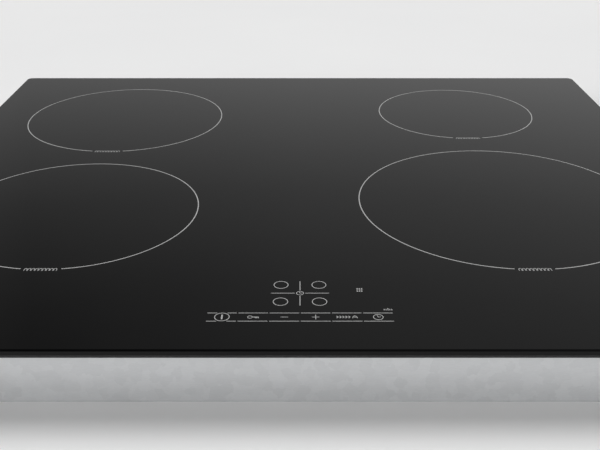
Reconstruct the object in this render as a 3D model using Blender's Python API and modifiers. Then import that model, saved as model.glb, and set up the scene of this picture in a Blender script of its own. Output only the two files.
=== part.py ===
"""Built-in electric induction cooktop with four round zones, as an assembly of separate pieces.

Metres, +Z up. The origin is the centre of the underside, the controls are at the front (-Y),
and the back is +Y. The glass top is 592 x 522 mm and drops into a 560 x 490 mm worktop cut-out.
"""

from math import cos, pi, radians, sin, sqrt

import bmesh
import bpy
from mathutils import Matrix, Vector

# Driving dimensions.
TOTAL_HEIGHT = 0.051
GLASS_WIDTH = 0.592
GLASS_DEPTH = 0.522
GLASS_THICK = 0.004
GLASS_CORNER = 0.006
GLASS_CHAMFER = 0.00075
GAP = 0.0003  # between pieces that touch

# Sheet-metal tray, and the frame that caps its walls under the glass.
SHEET = 0.0008
TRAY_WIDTH = 0.552
TRAY_DEPTH = 0.482
TRAY_CORNER = 0.008
TRAY_FOLD = 0.0025  # radius of the fold between floor and walls
TRAY_EMBOSS = 0.001
FRAME_SKIRT = 0.012  # how far the frame's skirt laps down over the tray's walls
FRAME_LIP = 0.007  # width of the flange that is bonded to the glass

GLASS_UNDER = TOTAL_HEIGHT - GLASS_THICK
FRAME_TOP = GLASS_UNDER - GAP
TRAY_TOP = FRAME_TOP - SHEET - GAP
FLOOR = SHEET + TRAY_EMBOSS + 0.0004  # nothing inside stands lower than this

# Foam seal that meets the worktop round the cut-out.
SEAL_INSET = 0.003
SEAL_WIDTH = 0.008
SEAL_THICK = 0.0028

# Cooking zones: centre and marked radius. Their fronts line up, and so do their backs.
ZONES = {
    "front_left": (-0.1646, -0.0810, 0.090),
    "rear_left": (-0.1646, 0.1276, 0.090),
    "front_right": (0.1492, -0.0660, 0.105),
    "rear_right": (0.1492, 0.1428, 0.0725),
}
STAGES = {
    "left": ("front_left", "rear_left"),
    "right": ("front_right", "rear_right"),
}

# Coil stack, from the aluminium plate up to the glass.
PLATE_LOW = 0.0306
PLATE_THICK = 0.0012
PLATE_X = {"left": (-0.258, -0.072), "right": (0.044, 0.258)}
PLATE_Y = (-0.172, 0.220)
FORMER_MARGIN = 0.0025  # the former's rim is this much inside the marked zone
FORMER_DISC = (0.0382, 0.0400)
FORMER_RIM_TOP = 0.0440
HUB_OUTER = 0.0105
HUB_INNER = 0.0080
WINDING_INNER = 0.020
WINDING_Z = (0.0403, 0.0457)
MICA_THICK = 0.0006
SENSOR_RADIUS = 0.0074

# Springs that press each coil plate towards the glass.
SPRING_RADIUS = 0.005
SPRING_WIRE = 0.0006
SPRING_TURNS = 4
SPRING_AT = {
    "left": ((-0.246, -0.150), (-0.246, 0.200), (-0.080, 0.024)),
    "right": ((0.247, -0.150), (0.247, 0.200), (0.056, 0.024)),
}

# Power electronics under the coil plates.
BOARD_CENTRE = {"left": (-0.162, -0.045), "right": (0.146, -0.045)}
BOARD_SIZE = (0.132, 0.222, 0.0016)
BOARD_LOW = 0.0062
CARRIER_MARGIN = 0.004
CARRIER_WALL = 0.0015
CARRIER_RIM = 0.0075
HEATSINK_SIZE = (0.062, 0.200, 0.0196)
HEATSINK_BASE = 0.003
FIN_PITCH = 0.0062
FIN_THICK = 0.0018

# Radial fans behind the boards.
FAN_CENTRE = {"left": (-0.165, 0.140), "right": (0.165, 0.140)}
FAN_LOW = 0.0032
FAN_HEIGHT = 0.0222
FAN_WALL = 0.0018
FAN_SMALL_RADIUS = 0.033  # of the volute, at its cut-off
FAN_BIG_RADIUS = 0.044  # of the volute, at its outlet
FAN_CUTOFF = 75  # degrees in front of the fan's side
FAN_EYE = 0.0265
ROTOR_RADIUS = 0.0300
ROTOR_HUB = 0.014
BLADE_INNER = 0.0215
BLADES = 13

# Mains terminal box in the rear wall, between the coil plates.
BOX_X = (-0.056, 0.026)
BOX_Z = (0.0045, 0.0335)
BOX_FRONT = 0.187
BOX_WALL = 0.002
BOX_PLATE = (0.2325, 0.2352)  # y of the plate that holds the gland, set back from the tray's wall
LID_X = (-0.0512, 0.0004)
LID_PIVOT = (0.2375, 0.0087)  # y and z of the hinge line
LID_TOP = 0.0310
LID_THICK = 0.0018
LUG_THICK = 0.0022
GLAND_X = 0.0134
GLAND_Z = 0.019
GLAND_BORE = 0.005

# Touch control unit under the front edge.
CONTROL_SIZE = (0.200, 0.0534)
CONTROL_FRONT = -0.2344
CONTROL_Z = (0.0330, 0.0465)
CONTROL_WALL = 0.0016
KEY_Y = -0.2275
KEY_PITCH = 0.0179
DISPLAY_X = 0.0117
DISPLAY_Y = (-0.2103, -0.1906)

# Fixings on the walls.
SKIRT_OUT = GAP + SHEET  # from the tray's wall to the outer face of the frame's skirt
SCREW_Z = 0.0385
SCREW_SHANK = 0.00175
SCREW_HEAD = 0.0036
SCREW_HEAD_THICK = 0.0016
LEAF_Y = 0.150
LEAF_WIDTH = 0.020
LEAF_THICK = 0.0006
LEAF_PIVOT_Z = 0.0405

MATERIALS = {
    "glass_ceramic": ((0.012, 0.012, 0.013), 0.06, 0.0),
    "zinc_steel": ((0.62, 0.63, 0.64), 0.38, 1.0),
    "frame_steel": ((0.05, 0.05, 0.05), 0.45, 0.6),
    "spring_steel": ((0.55, 0.55, 0.53), 0.3, 1.0),
    "screw_steel": ((0.66, 0.65, 0.62), 0.28, 1.0),
    "foam": ((0.03, 0.03, 0.03), 0.95, 0.0),
    "aluminium": ((0.80, 0.81, 0.82), 0.35, 1.0),
    "copper_litz": ((0.72, 0.38, 0.20), 0.4, 1.0),
    "former_plastic": ((0.75, 0.74, 0.70), 0.6, 0.0),
    "mica": ((0.70, 0.62, 0.46), 0.5, 0.0),
    "black_plastic": ((0.03, 0.03, 0.03), 0.5, 0.0),
    "silicone": ((0.80, 0.79, 0.76), 0.7, 0.0),
    "circuit_board": ((0.05, 0.24, 0.12), 0.45, 0.0),
    "terminal_plastic": ((0.78, 0.77, 0.72), 0.5, 0.0),
    "ribbon": ((0.60, 0.61, 0.62), 0.6, 0.0),
    "wire": ((0.55, 0.08, 0.06), 0.5, 0.0),
}


# Shapes.


def look(name):
    """The named material, made the first time that it is asked for."""
    found = bpy.data.materials.get(name)
    if found:
        return found
    colour, roughness, metallic = MATERIALS[name]
    made = bpy.data.materials.new(name)
    made.use_nodes = True
    shader = made.node_tree.nodes["Principled BSDF"]
    shader.inputs["Base Color"].default_value = (*colour, 1)
    shader.inputs["Roughness"].default_value = roughness
    shader.inputs["Metallic"].default_value = metallic
    return made


def arc(centre, radius, start, end, steps):
    """Points from angle start to angle end, in degrees, both included."""
    angles = [radians(start + (end - start) * i / steps) for i in range(steps + 1)]
    return [(centre[0] + radius * cos(a), centre[1] + radius * sin(a)) for a in angles]


def circle(radius, centre=(0, 0), steps=24):
    """Points all the way round, with none repeated."""
    return arc(centre, radius, 0, 360, steps)[:-1]


def rounded_rectangle(width, depth, radius, centre=(0, 0), steps=4):
    x, y = width / 2 - radius, depth / 2 - radius
    corners = ((x, y, 0), (-x, y, 90), (-x, -y, 180), (x, -y, 270))
    return [
        point
        for cx, cy, start in corners
        for point in arc((centre[0] + cx, centre[1] + cy), radius, start, start + 90, steps)
    ]


def stadium(length, width, centre=(0, 0)):
    """A slot's outline, with its length along Y."""
    radius, half = width / 2, (length - width) / 2
    top = arc((centre[0], centre[1] + half), radius, 0, 180, 3)
    bottom = arc((centre[0], centre[1] - half), radius, 180, 360, 3)
    return top + bottom


def strip(points, thickness):
    """The outline of a bent sheet, from the middle line of its section."""
    middle = [Vector(point) for point in points]
    along = [(b - a).normalized() for a, b in zip(middle, middle[1:])]
    sides = []
    for i, point in enumerate(middle):
        before, after = along[max(i - 1, 0)], along[min(i, len(along) - 1)]
        bisector = (before + after).normalized()
        across = Vector((-bisector.y, bisector.x)) / bisector.dot(after)
        sides.append((point + across * thickness / 2, point - across * thickness / 2))
    return [tuple(s[0]) for s in sides] + [tuple(s[1]) for s in reversed(sides)]


def add(name, data, finish, home):
    made = bpy.data.objects.new(name, data)
    if finish:
        data.materials.append(look(finish))
    home.objects.link(made)
    return made


def welded_mesh(piece):
    """The piece's final mesh, with its loose ends joined and every face turned outwards."""
    bpy.context.view_layer.update()
    graph = bpy.context.evaluated_depsgraph_get()
    mesh = bpy.data.meshes.new_from_object(piece.evaluated_get(graph))
    bm = bmesh.new()
    bm.from_mesh(mesh)
    bmesh.ops.remove_doubles(bm, verts=bm.verts, dist=1e-6)
    bmesh.ops.recalc_face_normals(bm, faces=bm.faces)
    bm.to_mesh(mesh)
    bm.free()
    return mesh


def as_mesh(piece):
    """Swaps a curve for the same piece as a mesh."""
    mesh = welded_mesh(piece)
    name, home, place = piece.name, piece.users_collection[0], piece.matrix_world.copy()
    bpy.data.objects.remove(piece)
    made = add(name, mesh, None, home)
    made.matrix_world = place
    return made


def slab(name, outlines, low, high, finish=None, home=None):
    """A flat outline, less any outlines inside it, between two heights."""
    curve = bpy.data.curves.new(name, "CURVE")
    curve.dimensions = "2D"
    curve.fill_mode = "BOTH"
    curve.extrude = (high - low) / 2
    for outline in outlines:
        spline = curve.splines.new("POLY")
        spline.points.add(len(outline) - 1)
        for point, (x, y) in zip(spline.points, outline):
            point.co = (x, y, 0, 1)
        spline.use_cyclic_u = True
    made = add(name, curve, finish, home or PIECES)
    made.location.z = (low + high) / 2
    return as_mesh(made)


def profile_along(name, axis, outline, low, high, finish=None, home=None):
    """A slab whose outline lies across X or Y. The outline's first value is Y (or X), its second Z."""
    made = slab(name, [outline], low, high, finish, home)
    offset = made.location.z
    if axis == "X":
        turn = Matrix(((0, 0, 1), (1, 0, 0), (0, 1, 0)))
        made.location = (offset, 0, 0)
    else:
        turn = Matrix(((1, 0, 0), (0, 0, -1), (0, 1, 0)))
        made.location = (0, offset, 0)
    made.rotation_euler = turn.to_euler()
    return made


def box(name, x, y, z, finish=None, home=None):
    """A block between two x values, two y values and two heights."""
    mesh = bpy.data.meshes.new(name)
    bm = bmesh.new()
    bmesh.ops.create_cube(bm, size=1)
    bmesh.ops.scale(bm, verts=bm.verts, vec=(x[1] - x[0], y[1] - y[0], z[1] - z[0]))
    bm.to_mesh(mesh)
    bm.free()
    made = add(name, mesh, finish, home or PIECES)
    made.location = ((x[0] + x[1]) / 2, (y[0] + y[1]) / 2, (z[0] + z[1]) / 2)
    return made


def turned(name, profile, centre, finish=None, steps=24, home=None):
    """A round piece on a vertical axis, from (radius, height) points run from its top to its bottom."""
    mesh = bpy.data.meshes.new(name)
    edges = [(i, i + 1) for i in range(len(profile) - 1)]
    if profile[0][0] > 0:
        edges.append((len(profile) - 1, 0))
    mesh.from_pydata([(r, 0, z) for r, z in profile], edges, [])
    made = add(name, mesh, finish, home or PIECES)
    made.location = (*centre, 0)
    screw = made.modifiers.new("Turn", "SCREW")
    screw.steps = screw.render_steps = steps
    screw.use_merge_vertices = True
    screw.merge_threshold = 1e-5
    screw.use_normal_calculate = True
    solid = welded_mesh(made)
    made.modifiers.clear()
    made.data = solid
    for polygon in solid.polygons:
        polygon.use_smooth = True
    solid.set_sharp_from_angle(angle=radians(30))
    return made


def helper(piece):
    """Marks a piece as a tool that shapes another one."""
    piece.hide_render = True
    piece.display_type = "WIRE"
    return piece


def combine(piece, operation, others):
    for other in others:
        modifier = piece.modifiers.new(f"{operation.title()} {other.name}", "BOOLEAN")
        modifier.operation = operation
        modifier.solver = "EXACT"
        modifier.object = helper(other)
    return piece


def cut(piece, *cutters):
    return combine(piece, "DIFFERENCE", cutters)


def unite(piece, *others):
    return combine(piece, "UNION", others)


def merged(name, pieces):
    """Several separate tools as one object, so that a single Boolean takes them all."""
    bpy.context.view_layer.update()
    bm = bmesh.new()
    for piece in pieces:
        before = set(bm.verts)
        bm.from_mesh(piece.data)
        added = [v for v in bm.verts if v not in before]
        bmesh.ops.transform(bm, matrix=piece.matrix_world, verts=added)
    mesh = bpy.data.meshes.new(name)
    bm.to_mesh(mesh)
    bm.free()
    for piece in pieces:
        bpy.data.objects.remove(piece)
    return add(name, mesh, None, TOOLS)


def wall_positions():
    """Where each case screw goes through the frame's skirt: a point on the tray's wall and the way out."""
    side, end = TRAY_WIDTH / 2, TRAY_DEPTH / 2
    return {
        "front_left": ((-0.180, -end), 180),
        "front_right": ((0.180, -end), 180),
        "rear_left": ((-0.200, end), 0),
        "rear_right": ((0.200, end), 0),
        "left": ((-side, 0), 90),
        "right": ((side, 0), -90),
    }


# Enclosure.


def make_glass():
    glass = slab(
        "glass_plate",
        [rounded_rectangle(GLASS_WIDTH, GLASS_DEPTH, GLASS_CORNER, steps=6)],
        GLASS_UNDER,
        TOTAL_HEIGHT,
        "glass_ceramic",
    )
    bevel = glass.modifiers.new("Ground edge", "BEVEL")
    bevel.width = GLASS_CHAMFER
    bevel.segments = 2
    bevel.angle_limit = radians(60)


def make_seal():
    outer = (GLASS_WIDTH - 2 * SEAL_INSET, GLASS_DEPTH - 2 * SEAL_INSET)
    inner = (outer[0] - 2 * SEAL_WIDTH, outer[1] - 2 * SEAL_WIDTH)
    outlines = [rounded_rectangle(*outer, 0.010, steps=3), rounded_rectangle(*inner, 0.002, steps=1)]
    slab("worktop_seal", outlines, FRAME_TOP - SEAL_THICK, FRAME_TOP, "foam")


def wall_holes(prefix, radius):
    """Cutters for the case screws and for the hooks of the retaining springs."""
    made = []
    for name, (point, heading) in wall_positions().items():
        hole = slab(f"{prefix}_hole_{name}", [circle(radius, steps=12)], -0.004, 0.004, home=TOOLS)
        hole.rotation_euler = (radians(-90), 0, radians(heading))
        hole.location = (*point, SCREW_Z)
        made.append(hole)
    for side in (-1, 1):
        for y in (-LEAF_Y, LEAF_Y):
            x = side * TRAY_WIDTH / 2
            half = LEAF_WIDTH / 2 + 0.001
            heights = (LEAF_PIVOT_Z - 0.0015, LEAF_PIVOT_Z + 0.0015)
            name = f"{prefix}_slot_{side}_{y:.2f}"
            made.append(box(name, (x - 0.004, x + 0.004), (y - half, y + half), heights, home=TOOLS))
    return made


def make_frame():
    """An inverted L section: a skirt outside the tray's walls and a lip bonded to the glass."""
    grow = 2 * SKIRT_OUT
    outline = rounded_rectangle(TRAY_WIDTH + grow, TRAY_DEPTH + grow, TRAY_CORNER + SKIRT_OUT)
    shrink = grow - 2 * FRAME_LIP
    window = rounded_rectangle(TRAY_WIDTH + shrink, TRAY_DEPTH + shrink, 0.004, steps=2)
    frame = slab("support_frame", [outline, window], FRAME_TOP - FRAME_SKIRT, FRAME_TOP, "frame_steel")
    inner = rounded_rectangle(TRAY_WIDTH + 2 * GAP, TRAY_DEPTH + 2 * GAP, TRAY_CORNER + GAP)
    low = FRAME_TOP - FRAME_SKIRT - 0.002
    pocket = slab("frame_pocket", [inner], low, FRAME_TOP - SHEET, home=TOOLS)
    cut(frame, pocket, merged("frame_wall_holes", wall_holes("frame", SCREW_SHANK + 0.0004)))


def tray_floor_faces(bm, lines_x, lines_y):
    """The floor as a grid, returned as {(column, row): face}."""
    verts = [[bm.verts.new((x, y, 0)) for y in lines_y] for x in lines_x]
    return {
        (i, j): bm.faces.new((verts[i][j], verts[i][j + 1], verts[i + 1][j + 1], verts[i + 1][j]))
        for i in range(len(lines_x) - 1)
        for j in range(len(lines_y) - 1)
    }


def make_tray_shell():
    """The folded sheet with its stiffening panels pressed inwards, before its slots are cut."""
    half_x, half_y = TRAY_WIDTH / 2, TRAY_DEPTH / 2
    lines_x = (-half_x, -0.250, -0.092, -0.068, 0.068, 0.092, 0.250, half_x)
    lines_y = (-half_y, -0.200, -0.156, 0.060, 0.165, half_y)
    bm = bmesh.new()
    faces = tray_floor_faces(bm, lines_x, lines_y)
    bm.normal_update()
    panels = ([(1, 2)], [(3, 1), (3, 2), (3, 3)], [(5, 2)])
    for cells in panels:
        region = [faces[cell] for cell in cells]
        bmesh.ops.inset_region(bm, faces=region, thickness=0.004, depth=-TRAY_EMBOSS, use_even_offset=True)
    rim = [edge for edge in bm.edges if edge.is_boundary]
    raised = bmesh.ops.extrude_edge_only(bm, edges=rim)["geom"]
    top = [part for part in raised if isinstance(part, bmesh.types.BMVert)]
    bmesh.ops.translate(bm, verts=top, vec=(0, 0, TRAY_TOP))
    bmesh.ops.recalc_face_normals(bm, faces=bm.faces)

    def on_wall(vert):
        return abs(abs(vert.co.x) - half_x) < 1e-6 or abs(abs(vert.co.y) - half_y) < 1e-6

    def upright(edge):
        a, b = edge.verts
        return abs(a.co.z - b.co.z) > TRAY_TOP / 2

    def at_corner(edge):
        point = edge.verts[0].co
        return abs(abs(point.x) - half_x) < 1e-6 and abs(abs(point.y) - half_y) < 1e-6

    corners = [e for e in bm.edges if upright(e) and at_corner(e)]
    bmesh.ops.bevel(bm, geom=corners, offset=TRAY_CORNER, segments=4, profile=0.5, affect="EDGES")
    folds = [
        e
        for e in bm.edges
        if len(e.link_faces) == 2
        and max(abs(v.co.z) for v in e.verts) < 1e-6
        and abs(e.link_faces[0].normal.z - e.link_faces[1].normal.z) > 0.9
    ]
    bmesh.ops.bevel(bm, geom=folds, offset=TRAY_FOLD, segments=2, profile=0.5, affect="EDGES")
    bmesh.ops.recalc_face_normals(bm, faces=bm.faces)
    if sum(f.normal.z * f.calc_area() for f in bm.faces) > 0:
        bmesh.ops.reverse_faces(bm, faces=bm.faces)
    mesh = bpy.data.meshes.new("base_tray")
    bm.to_mesh(mesh)
    bm.free()
    tray = add("base_tray", mesh, "zinc_steel", PIECES)
    solidify = tray.modifiers.new("Sheet", "SOLIDIFY")
    solidify.thickness = SHEET
    solidify.offset = -1
    solidify.use_even_offset = True
    return tray


def make_tray():
    """Slots: a round grille under each fan, exhaust slots near the front, and slots in the rear wall."""
    tray = make_tray_shell()
    floor_slots = []
    for centre in FAN_CENTRE.values():
        reach, pitch = 0.034, 0.0085
        for i in range(-3, 4):
            length = 2 * sqrt(reach**2 - (i * pitch) ** 2)
            floor_slots.append(stadium(length, 0.0045, (centre[0] + i * pitch, centre[1])))
    for side in (-1, 1):
        floor_slots += [stadium(0.024, 0.0045, (side * (0.098 + 0.013 * i), -0.178)) for i in range(12)]
    floor_cuts = [
        slab(f"floor_slot_{i}", [outline], -0.002, 0.004, home=TOOLS)
        for i, outline in enumerate(floor_slots)
    ]
    wall_cuts = []
    for side in (-1, 1):
        for i in range(8):
            x = side * (0.105 + 0.011 * i)
            outline = stadium(0.018, 0.004, (x, 0.020))
            slot = profile_along(f"rear_slot_{side}_{i}", "Y", outline, -0.003, 0.003, home=TOOLS)
            slot.location.y = TRAY_DEPTH / 2
            wall_cuts.append(slot)
    inlet = box(
        "inlet_window",
        (BOX_X[0] - GAP, BOX_X[1] + GAP),
        (TRAY_DEPTH / 2 - 0.004, TRAY_DEPTH / 2 + 0.004),
        (BOX_Z[0] - GAP, BOX_Z[1] + GAP),
        home=TOOLS,
    )
    cut(
        tray,
        merged("tray_floor_slots", floor_cuts),
        merged("tray_wall_slots", wall_cuts + [inlet]),
        merged("tray_wall_holes", wall_holes("tray", SCREW_SHANK + 0.0004)),
    )


def make_case_screws():
    """Pan-head screws with a round drive recess."""
    shank_end, head_low = -0.006, SKIRT_OUT + GAP
    head_top = head_low + SCREW_HEAD_THICK
    profile = [
        (0, head_top - 0.0010),
        (0.0014, head_top - 0.0010),
        (0.0016, head_top),
        (0.0028, head_top),
        (SCREW_HEAD, head_low + 0.0006),
        (SCREW_HEAD, head_low),
        (SCREW_SHANK, head_low),
        (SCREW_SHANK, shank_end + 0.001),
        (0, shank_end),
    ]
    for name, (point, heading) in wall_positions().items():
        screw = turned(f"case_screw_{name}", profile, (0, 0), "screw_steel", steps=12)
        screw.rotation_euler = (radians(-90), 0, radians(heading))
        screw.location = (*point, SCREW_Z)


def make_retaining_springs():
    """Sheet springs hooked through the side walls, which grip the edges of the worktop cut-out."""
    wall = TRAY_WIDTH / 2 + SKIRT_OUT
    section = [
        (-0.0042, 0.0434),
        (-0.0042, LEAF_PIVOT_Z + 0.0008),
        (-0.0034, LEAF_PIVOT_Z),
        (0.0004, LEAF_PIVOT_Z),
        (0.0013, LEAF_PIVOT_Z - 0.0010),
        (0.0046, 0.0245),
        (0.0046, 0.0225),
        (0.0030, 0.0140),
        (0.0036, 0.0125),
    ]
    for side, side_name in ((-1, "left"), (1, "right")):
        for y, end_name in ((-LEAF_Y, "front"), (LEAF_Y, "rear")):
            outline = strip([(side * (wall + out), z) for out, z in section], LEAF_THICK)
            name = f"retaining_spring_{side_name}_{end_name}"
            spring = profile_along(name, "Y", outline, -LEAF_WIDTH / 2, LEAF_WIDTH / 2, "spring_steel")
            spring.location.y = y


# Coils.


def make_coil(zone):
    x, y, marked = ZONES[zone]
    rim = marked - FORMER_MARGIN
    foot = PLATE_LOW + PLATE_THICK + GAP
    low, high = FORMER_DISC
    former = [
        (HUB_OUTER, FORMER_RIM_TOP),
        (HUB_OUTER, high),
        (rim - 0.0018, high),
        (rim - 0.0018, FORMER_RIM_TOP),
        (rim, FORMER_RIM_TOP),
        (rim, foot),
        (rim - 0.0018, foot),
        (rim - 0.0018, low),
        (HUB_OUTER, low),
        (HUB_OUTER, foot),
        (HUB_INNER, foot),
        (HUB_INNER, FORMER_RIM_TOP),
    ]
    turned(f"coil_former_{zone}", former, (x, y), "former_plastic", steps=28)
    bottom, top = WINDING_Z
    outer = rim - 0.0024
    winding = [
        (WINDING_INNER + 0.0008, top),
        (outer - 0.0008, top),
        (outer, top - 0.0012),
        (outer, bottom + 0.0012),
        (outer - 0.0008, bottom),
        (WINDING_INNER + 0.0008, bottom),
        (WINDING_INNER, bottom + 0.0012),
        (WINDING_INNER, top - 0.0012),
    ]
    turned(f"coil_winding_{zone}", winding, (x, y), "copper_litz", steps=28)
    mica = [circle(rim, (x, y), 28), circle(HUB_INNER, (x, y), 16)]
    slab(f"insulation_sheet_{zone}", mica, FRAME_TOP - MICA_THICK, FRAME_TOP, "mica")
    sensor = [
        (0, FRAME_TOP),
        (0.0045, FRAME_TOP),
        (0.0055, FRAME_TOP - 0.0012),
        (0.0055, 0.0400),
        (SENSOR_RADIUS, 0.0390),
        (SENSOR_RADIUS, 0.0350),
        (0.0040, 0.0340),
        (0, 0.0340),
    ]
    turned(f"temperature_sensor_{zone}", sensor, (x, y), "silicone", steps=12)


def make_coil_plate(side):
    low_x, high_x = PLATE_X[side]
    width, depth = high_x - low_x, PLATE_Y[1] - PLATE_Y[0]
    centre = ((low_x + high_x) / 2, (PLATE_Y[0] + PLATE_Y[1]) / 2)
    outlines = [rounded_rectangle(width, depth, 0.006, centre, steps=2)]
    for zone in STAGES[side]:
        x, y, marked = ZONES[zone]
        outlines.append(circle(0.012, (x, y), 12))
        for heading in (60, 120, 240, 300):
            reach = marked * 0.62
            spot = (x + reach * cos(radians(heading)), y + reach * sin(radians(heading)))
            outlines.append(stadium(0.022, 0.010, spot))
    slab(f"coil_plate_{side}", outlines, PLATE_LOW, PLATE_LOW + PLATE_THICK, "aluminium")


def make_plate_springs(side):
    """Compression springs with a close turn at each end."""
    per_turn = 8
    low = FLOOR + SPRING_WIRE
    high = PLATE_LOW - GAP - SPRING_WIRE
    for number, (x, y) in enumerate(SPRING_AT[side], 1):
        count = per_turn * SPRING_TURNS
        curve = bpy.data.curves.new("spring", "CURVE")
        curve.dimensions = "3D"
        curve.bevel_depth = SPRING_WIRE
        curve.bevel_resolution = 1
        curve.use_fill_caps = True
        spline = curve.splines.new("POLY")
        spline.points.add(count)
        for i in range(count + 1):
            angle = 2 * pi * i / per_turn
            share = i / count
            eased = share - 0.75 * sin(2 * pi * share) / (2 * pi)
            height = low + (high - low) * eased
            place = (SPRING_RADIUS * cos(angle), SPRING_RADIUS * sin(angle), height)
            spline.points[i].co = (*place, 1)
        spring = add(f"plate_spring_{side}_{number}", curve, "spring_steel", PIECES)
        spring.location = (x, y, 0)


# Electronics.


def make_power_unit(side):
    cx, cy = BOARD_CENTRE[side]
    width, depth, thick = BOARD_SIZE
    x, y = (cx - width / 2, cx + width / 2), (cy - depth / 2, cy + depth / 2)
    margin = CARRIER_MARGIN
    outer = rounded_rectangle(width + 2 * margin, depth + 2 * margin, 0.006, (cx, cy), steps=2)
    carrier = slab(f"board_carrier_{side}", [outer], FLOOR, FLOOR + CARRIER_RIM, "black_plastic")
    size = (width + 2 * (margin - CARRIER_WALL), depth + 2 * (margin - CARRIER_WALL))
    inner = rounded_rectangle(*size, 0.0045, (cx, cy), steps=2)
    hollow = slab(f"carrier_hollow_{side}", [inner], FLOOR + CARRIER_WALL, 0.02, home=TOOLS)
    posts = [
        slab(
            f"carrier_post_{side}_{i}",
            [circle(0.004, (cx + sx * (width / 2 - 0.010), cy + sy * (depth / 2 - 0.010)), 8)],
            FLOOR + CARRIER_WALL / 2,
            BOARD_LOW - GAP,
            home=TOOLS,
        )
        for i, (sx, sy) in enumerate(((-1, -1), (-1, 1), (1, -1), (1, 1)))
    ]
    cut(carrier, hollow)
    unite(carrier, merged(f"carrier_posts_{side}", posts))
    top = BOARD_LOW + thick
    board = box(f"power_board_{side}", x, y, (BOARD_LOW, top), "circuit_board")
    bottom = top - thick / 2
    outward = -1 if side == "left" else 1
    parts = []
    for i, (length, height) in enumerate(((0.030, 0.016), (0.030, 0.016), (0.022, 0.014))):
        py = cy - 0.070 + 0.050 * i
        px = cx + outward * 0.050
        spans = ((px - 0.010, px + 0.010), (py - length / 2, py + length / 2))
        parts.append(box(f"film_capacitor_{side}_{i}", *spans, (bottom, top + height), home=TOOLS))
    for i, py in enumerate((-0.060, 0.050)):
        spot = (cx - outward * 0.050, cy + py)
        low_high = (bottom, top + 0.017)
        parts.append(slab(f"bulk_part_{side}_{i}", [circle(0.011, spot, 16)], *low_high, home=TOOLS))
    unite(board, merged(f"board_parts_{side}", parts))
    make_heatsink(side, (cx, cy), top + GAP)


def make_heatsink(side, centre, low):
    """An extruded comb whose fins run along the air stream."""
    width, depth, height = HEATSINK_SIZE
    left = centre[0] - width / 2
    fins = int((width - FIN_THICK) / FIN_PITCH) + 1
    step = (width - FIN_THICK) / (fins - 1)
    outline = [(left + width, low), (left, low)]
    for i in range(fins):
        edge = left + i * step
        if i:
            outline.append((edge, low + HEATSINK_BASE))
        outline += [(edge, low + height), (edge + FIN_THICK, low + height)]
        if i < fins - 1:
            outline.append((edge + FIN_THICK, low + HEATSINK_BASE))
    name = f"heatsink_{side}"
    heatsink = profile_along(name, "Y", outline, -depth / 2, depth / 2, "aluminium")
    heatsink.location.y = centre[1]


def volute(inset, outlet):
    """The fan casing's outline: a spiral that opens into a straight outlet along -Y."""
    steps = 19
    turn = 360 - FAN_CUTOFF
    spiral = []
    for i in range(steps + 1):
        angle = radians(-FAN_CUTOFF - turn * i / steps)
        radius = FAN_SMALL_RADIUS + (FAN_BIG_RADIUS - FAN_SMALL_RADIUS) * i / steps - inset
        spiral.append((radius * cos(angle), radius * sin(angle)))
    cutoff = spiral[0][0] + inset
    return spiral + [(FAN_BIG_RADIUS - inset, outlet), (cutoff, outlet)]


def make_fan(side):
    centre = FAN_CENTRE[side]
    low, high = FAN_LOW, FAN_LOW + FAN_HEIGHT
    housing = slab(f"fan_housing_{side}", [volute(0, -0.044)], low, high, "black_plastic")
    inside = (low + FAN_WALL, high - FAN_WALL)
    cavity = slab(f"fan_cavity_{side}", [volute(FAN_WALL, -0.050)], *inside, home=TOOLS)
    eye = slab(f"fan_eye_{side}", [circle(FAN_EYE)], low - 0.002, low + 0.004, home=TOOLS)
    for piece in (housing, cavity, eye):
        piece.location.x, piece.location.y = centre
    cut(housing, cavity, eye)
    make_rotor(side, centre, inside)
    roof = inside[1] - GAP
    stator = [
        (0, roof),
        (0.0116, roof),
        (0.0116, roof - 0.0115),
        (0.0018, roof - 0.0115),
        (0.0018, roof - 0.0030),
        (0, roof - 0.0030),
    ]
    turned(f"fan_motor_{side}", stator, centre, "screw_steel", steps=16)


def make_rotor(side, centre, inside):
    """An external-rotor impeller: a cup round the motor, a back plate, and blades that hang from it."""
    floor, roof = inside
    plate_top = roof - 0.0016
    plate_low = plate_top - 0.0012
    cup_low = floor + 0.0030
    cup_inner = ROTOR_HUB - 0.0014
    shaft = 0.0015
    profile = [
        (0, roof - 0.0040),
        (shaft, roof - 0.0040),
        (shaft, cup_low + 0.0014),
        (cup_inner, cup_low + 0.0014),
        (cup_inner, plate_top),
        (ROTOR_RADIUS, plate_top),
        (ROTOR_RADIUS, plate_low),
        (ROTOR_HUB, plate_low),
        (ROTOR_HUB, cup_low),
        (0, cup_low),
    ]
    rotor = turned(f"fan_rotor_{side}", profile, centre, "black_plastic", steps=24)
    blades = []
    for i in range(BLADES):
        turn = 360 * i / BLADES
        middle = [
            (r * cos(radians(turn + sweep)), r * sin(radians(turn + sweep)))
            for r, sweep in ((BLADE_INNER, 0), (0.0262, -5), (ROTOR_RADIUS - 0.0006, -14))
        ]
        top = (plate_low + plate_top) / 2
        outline = strip(middle, 0.0012)
        blades.append(slab(f"blade_{side}_{i}", [outline], floor + 0.0012, top, home=TOOLS))
    joined = merged(f"blades_{side}", blades)
    joined.location = (*centre, 0)
    unite(rotor, joined)


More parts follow.
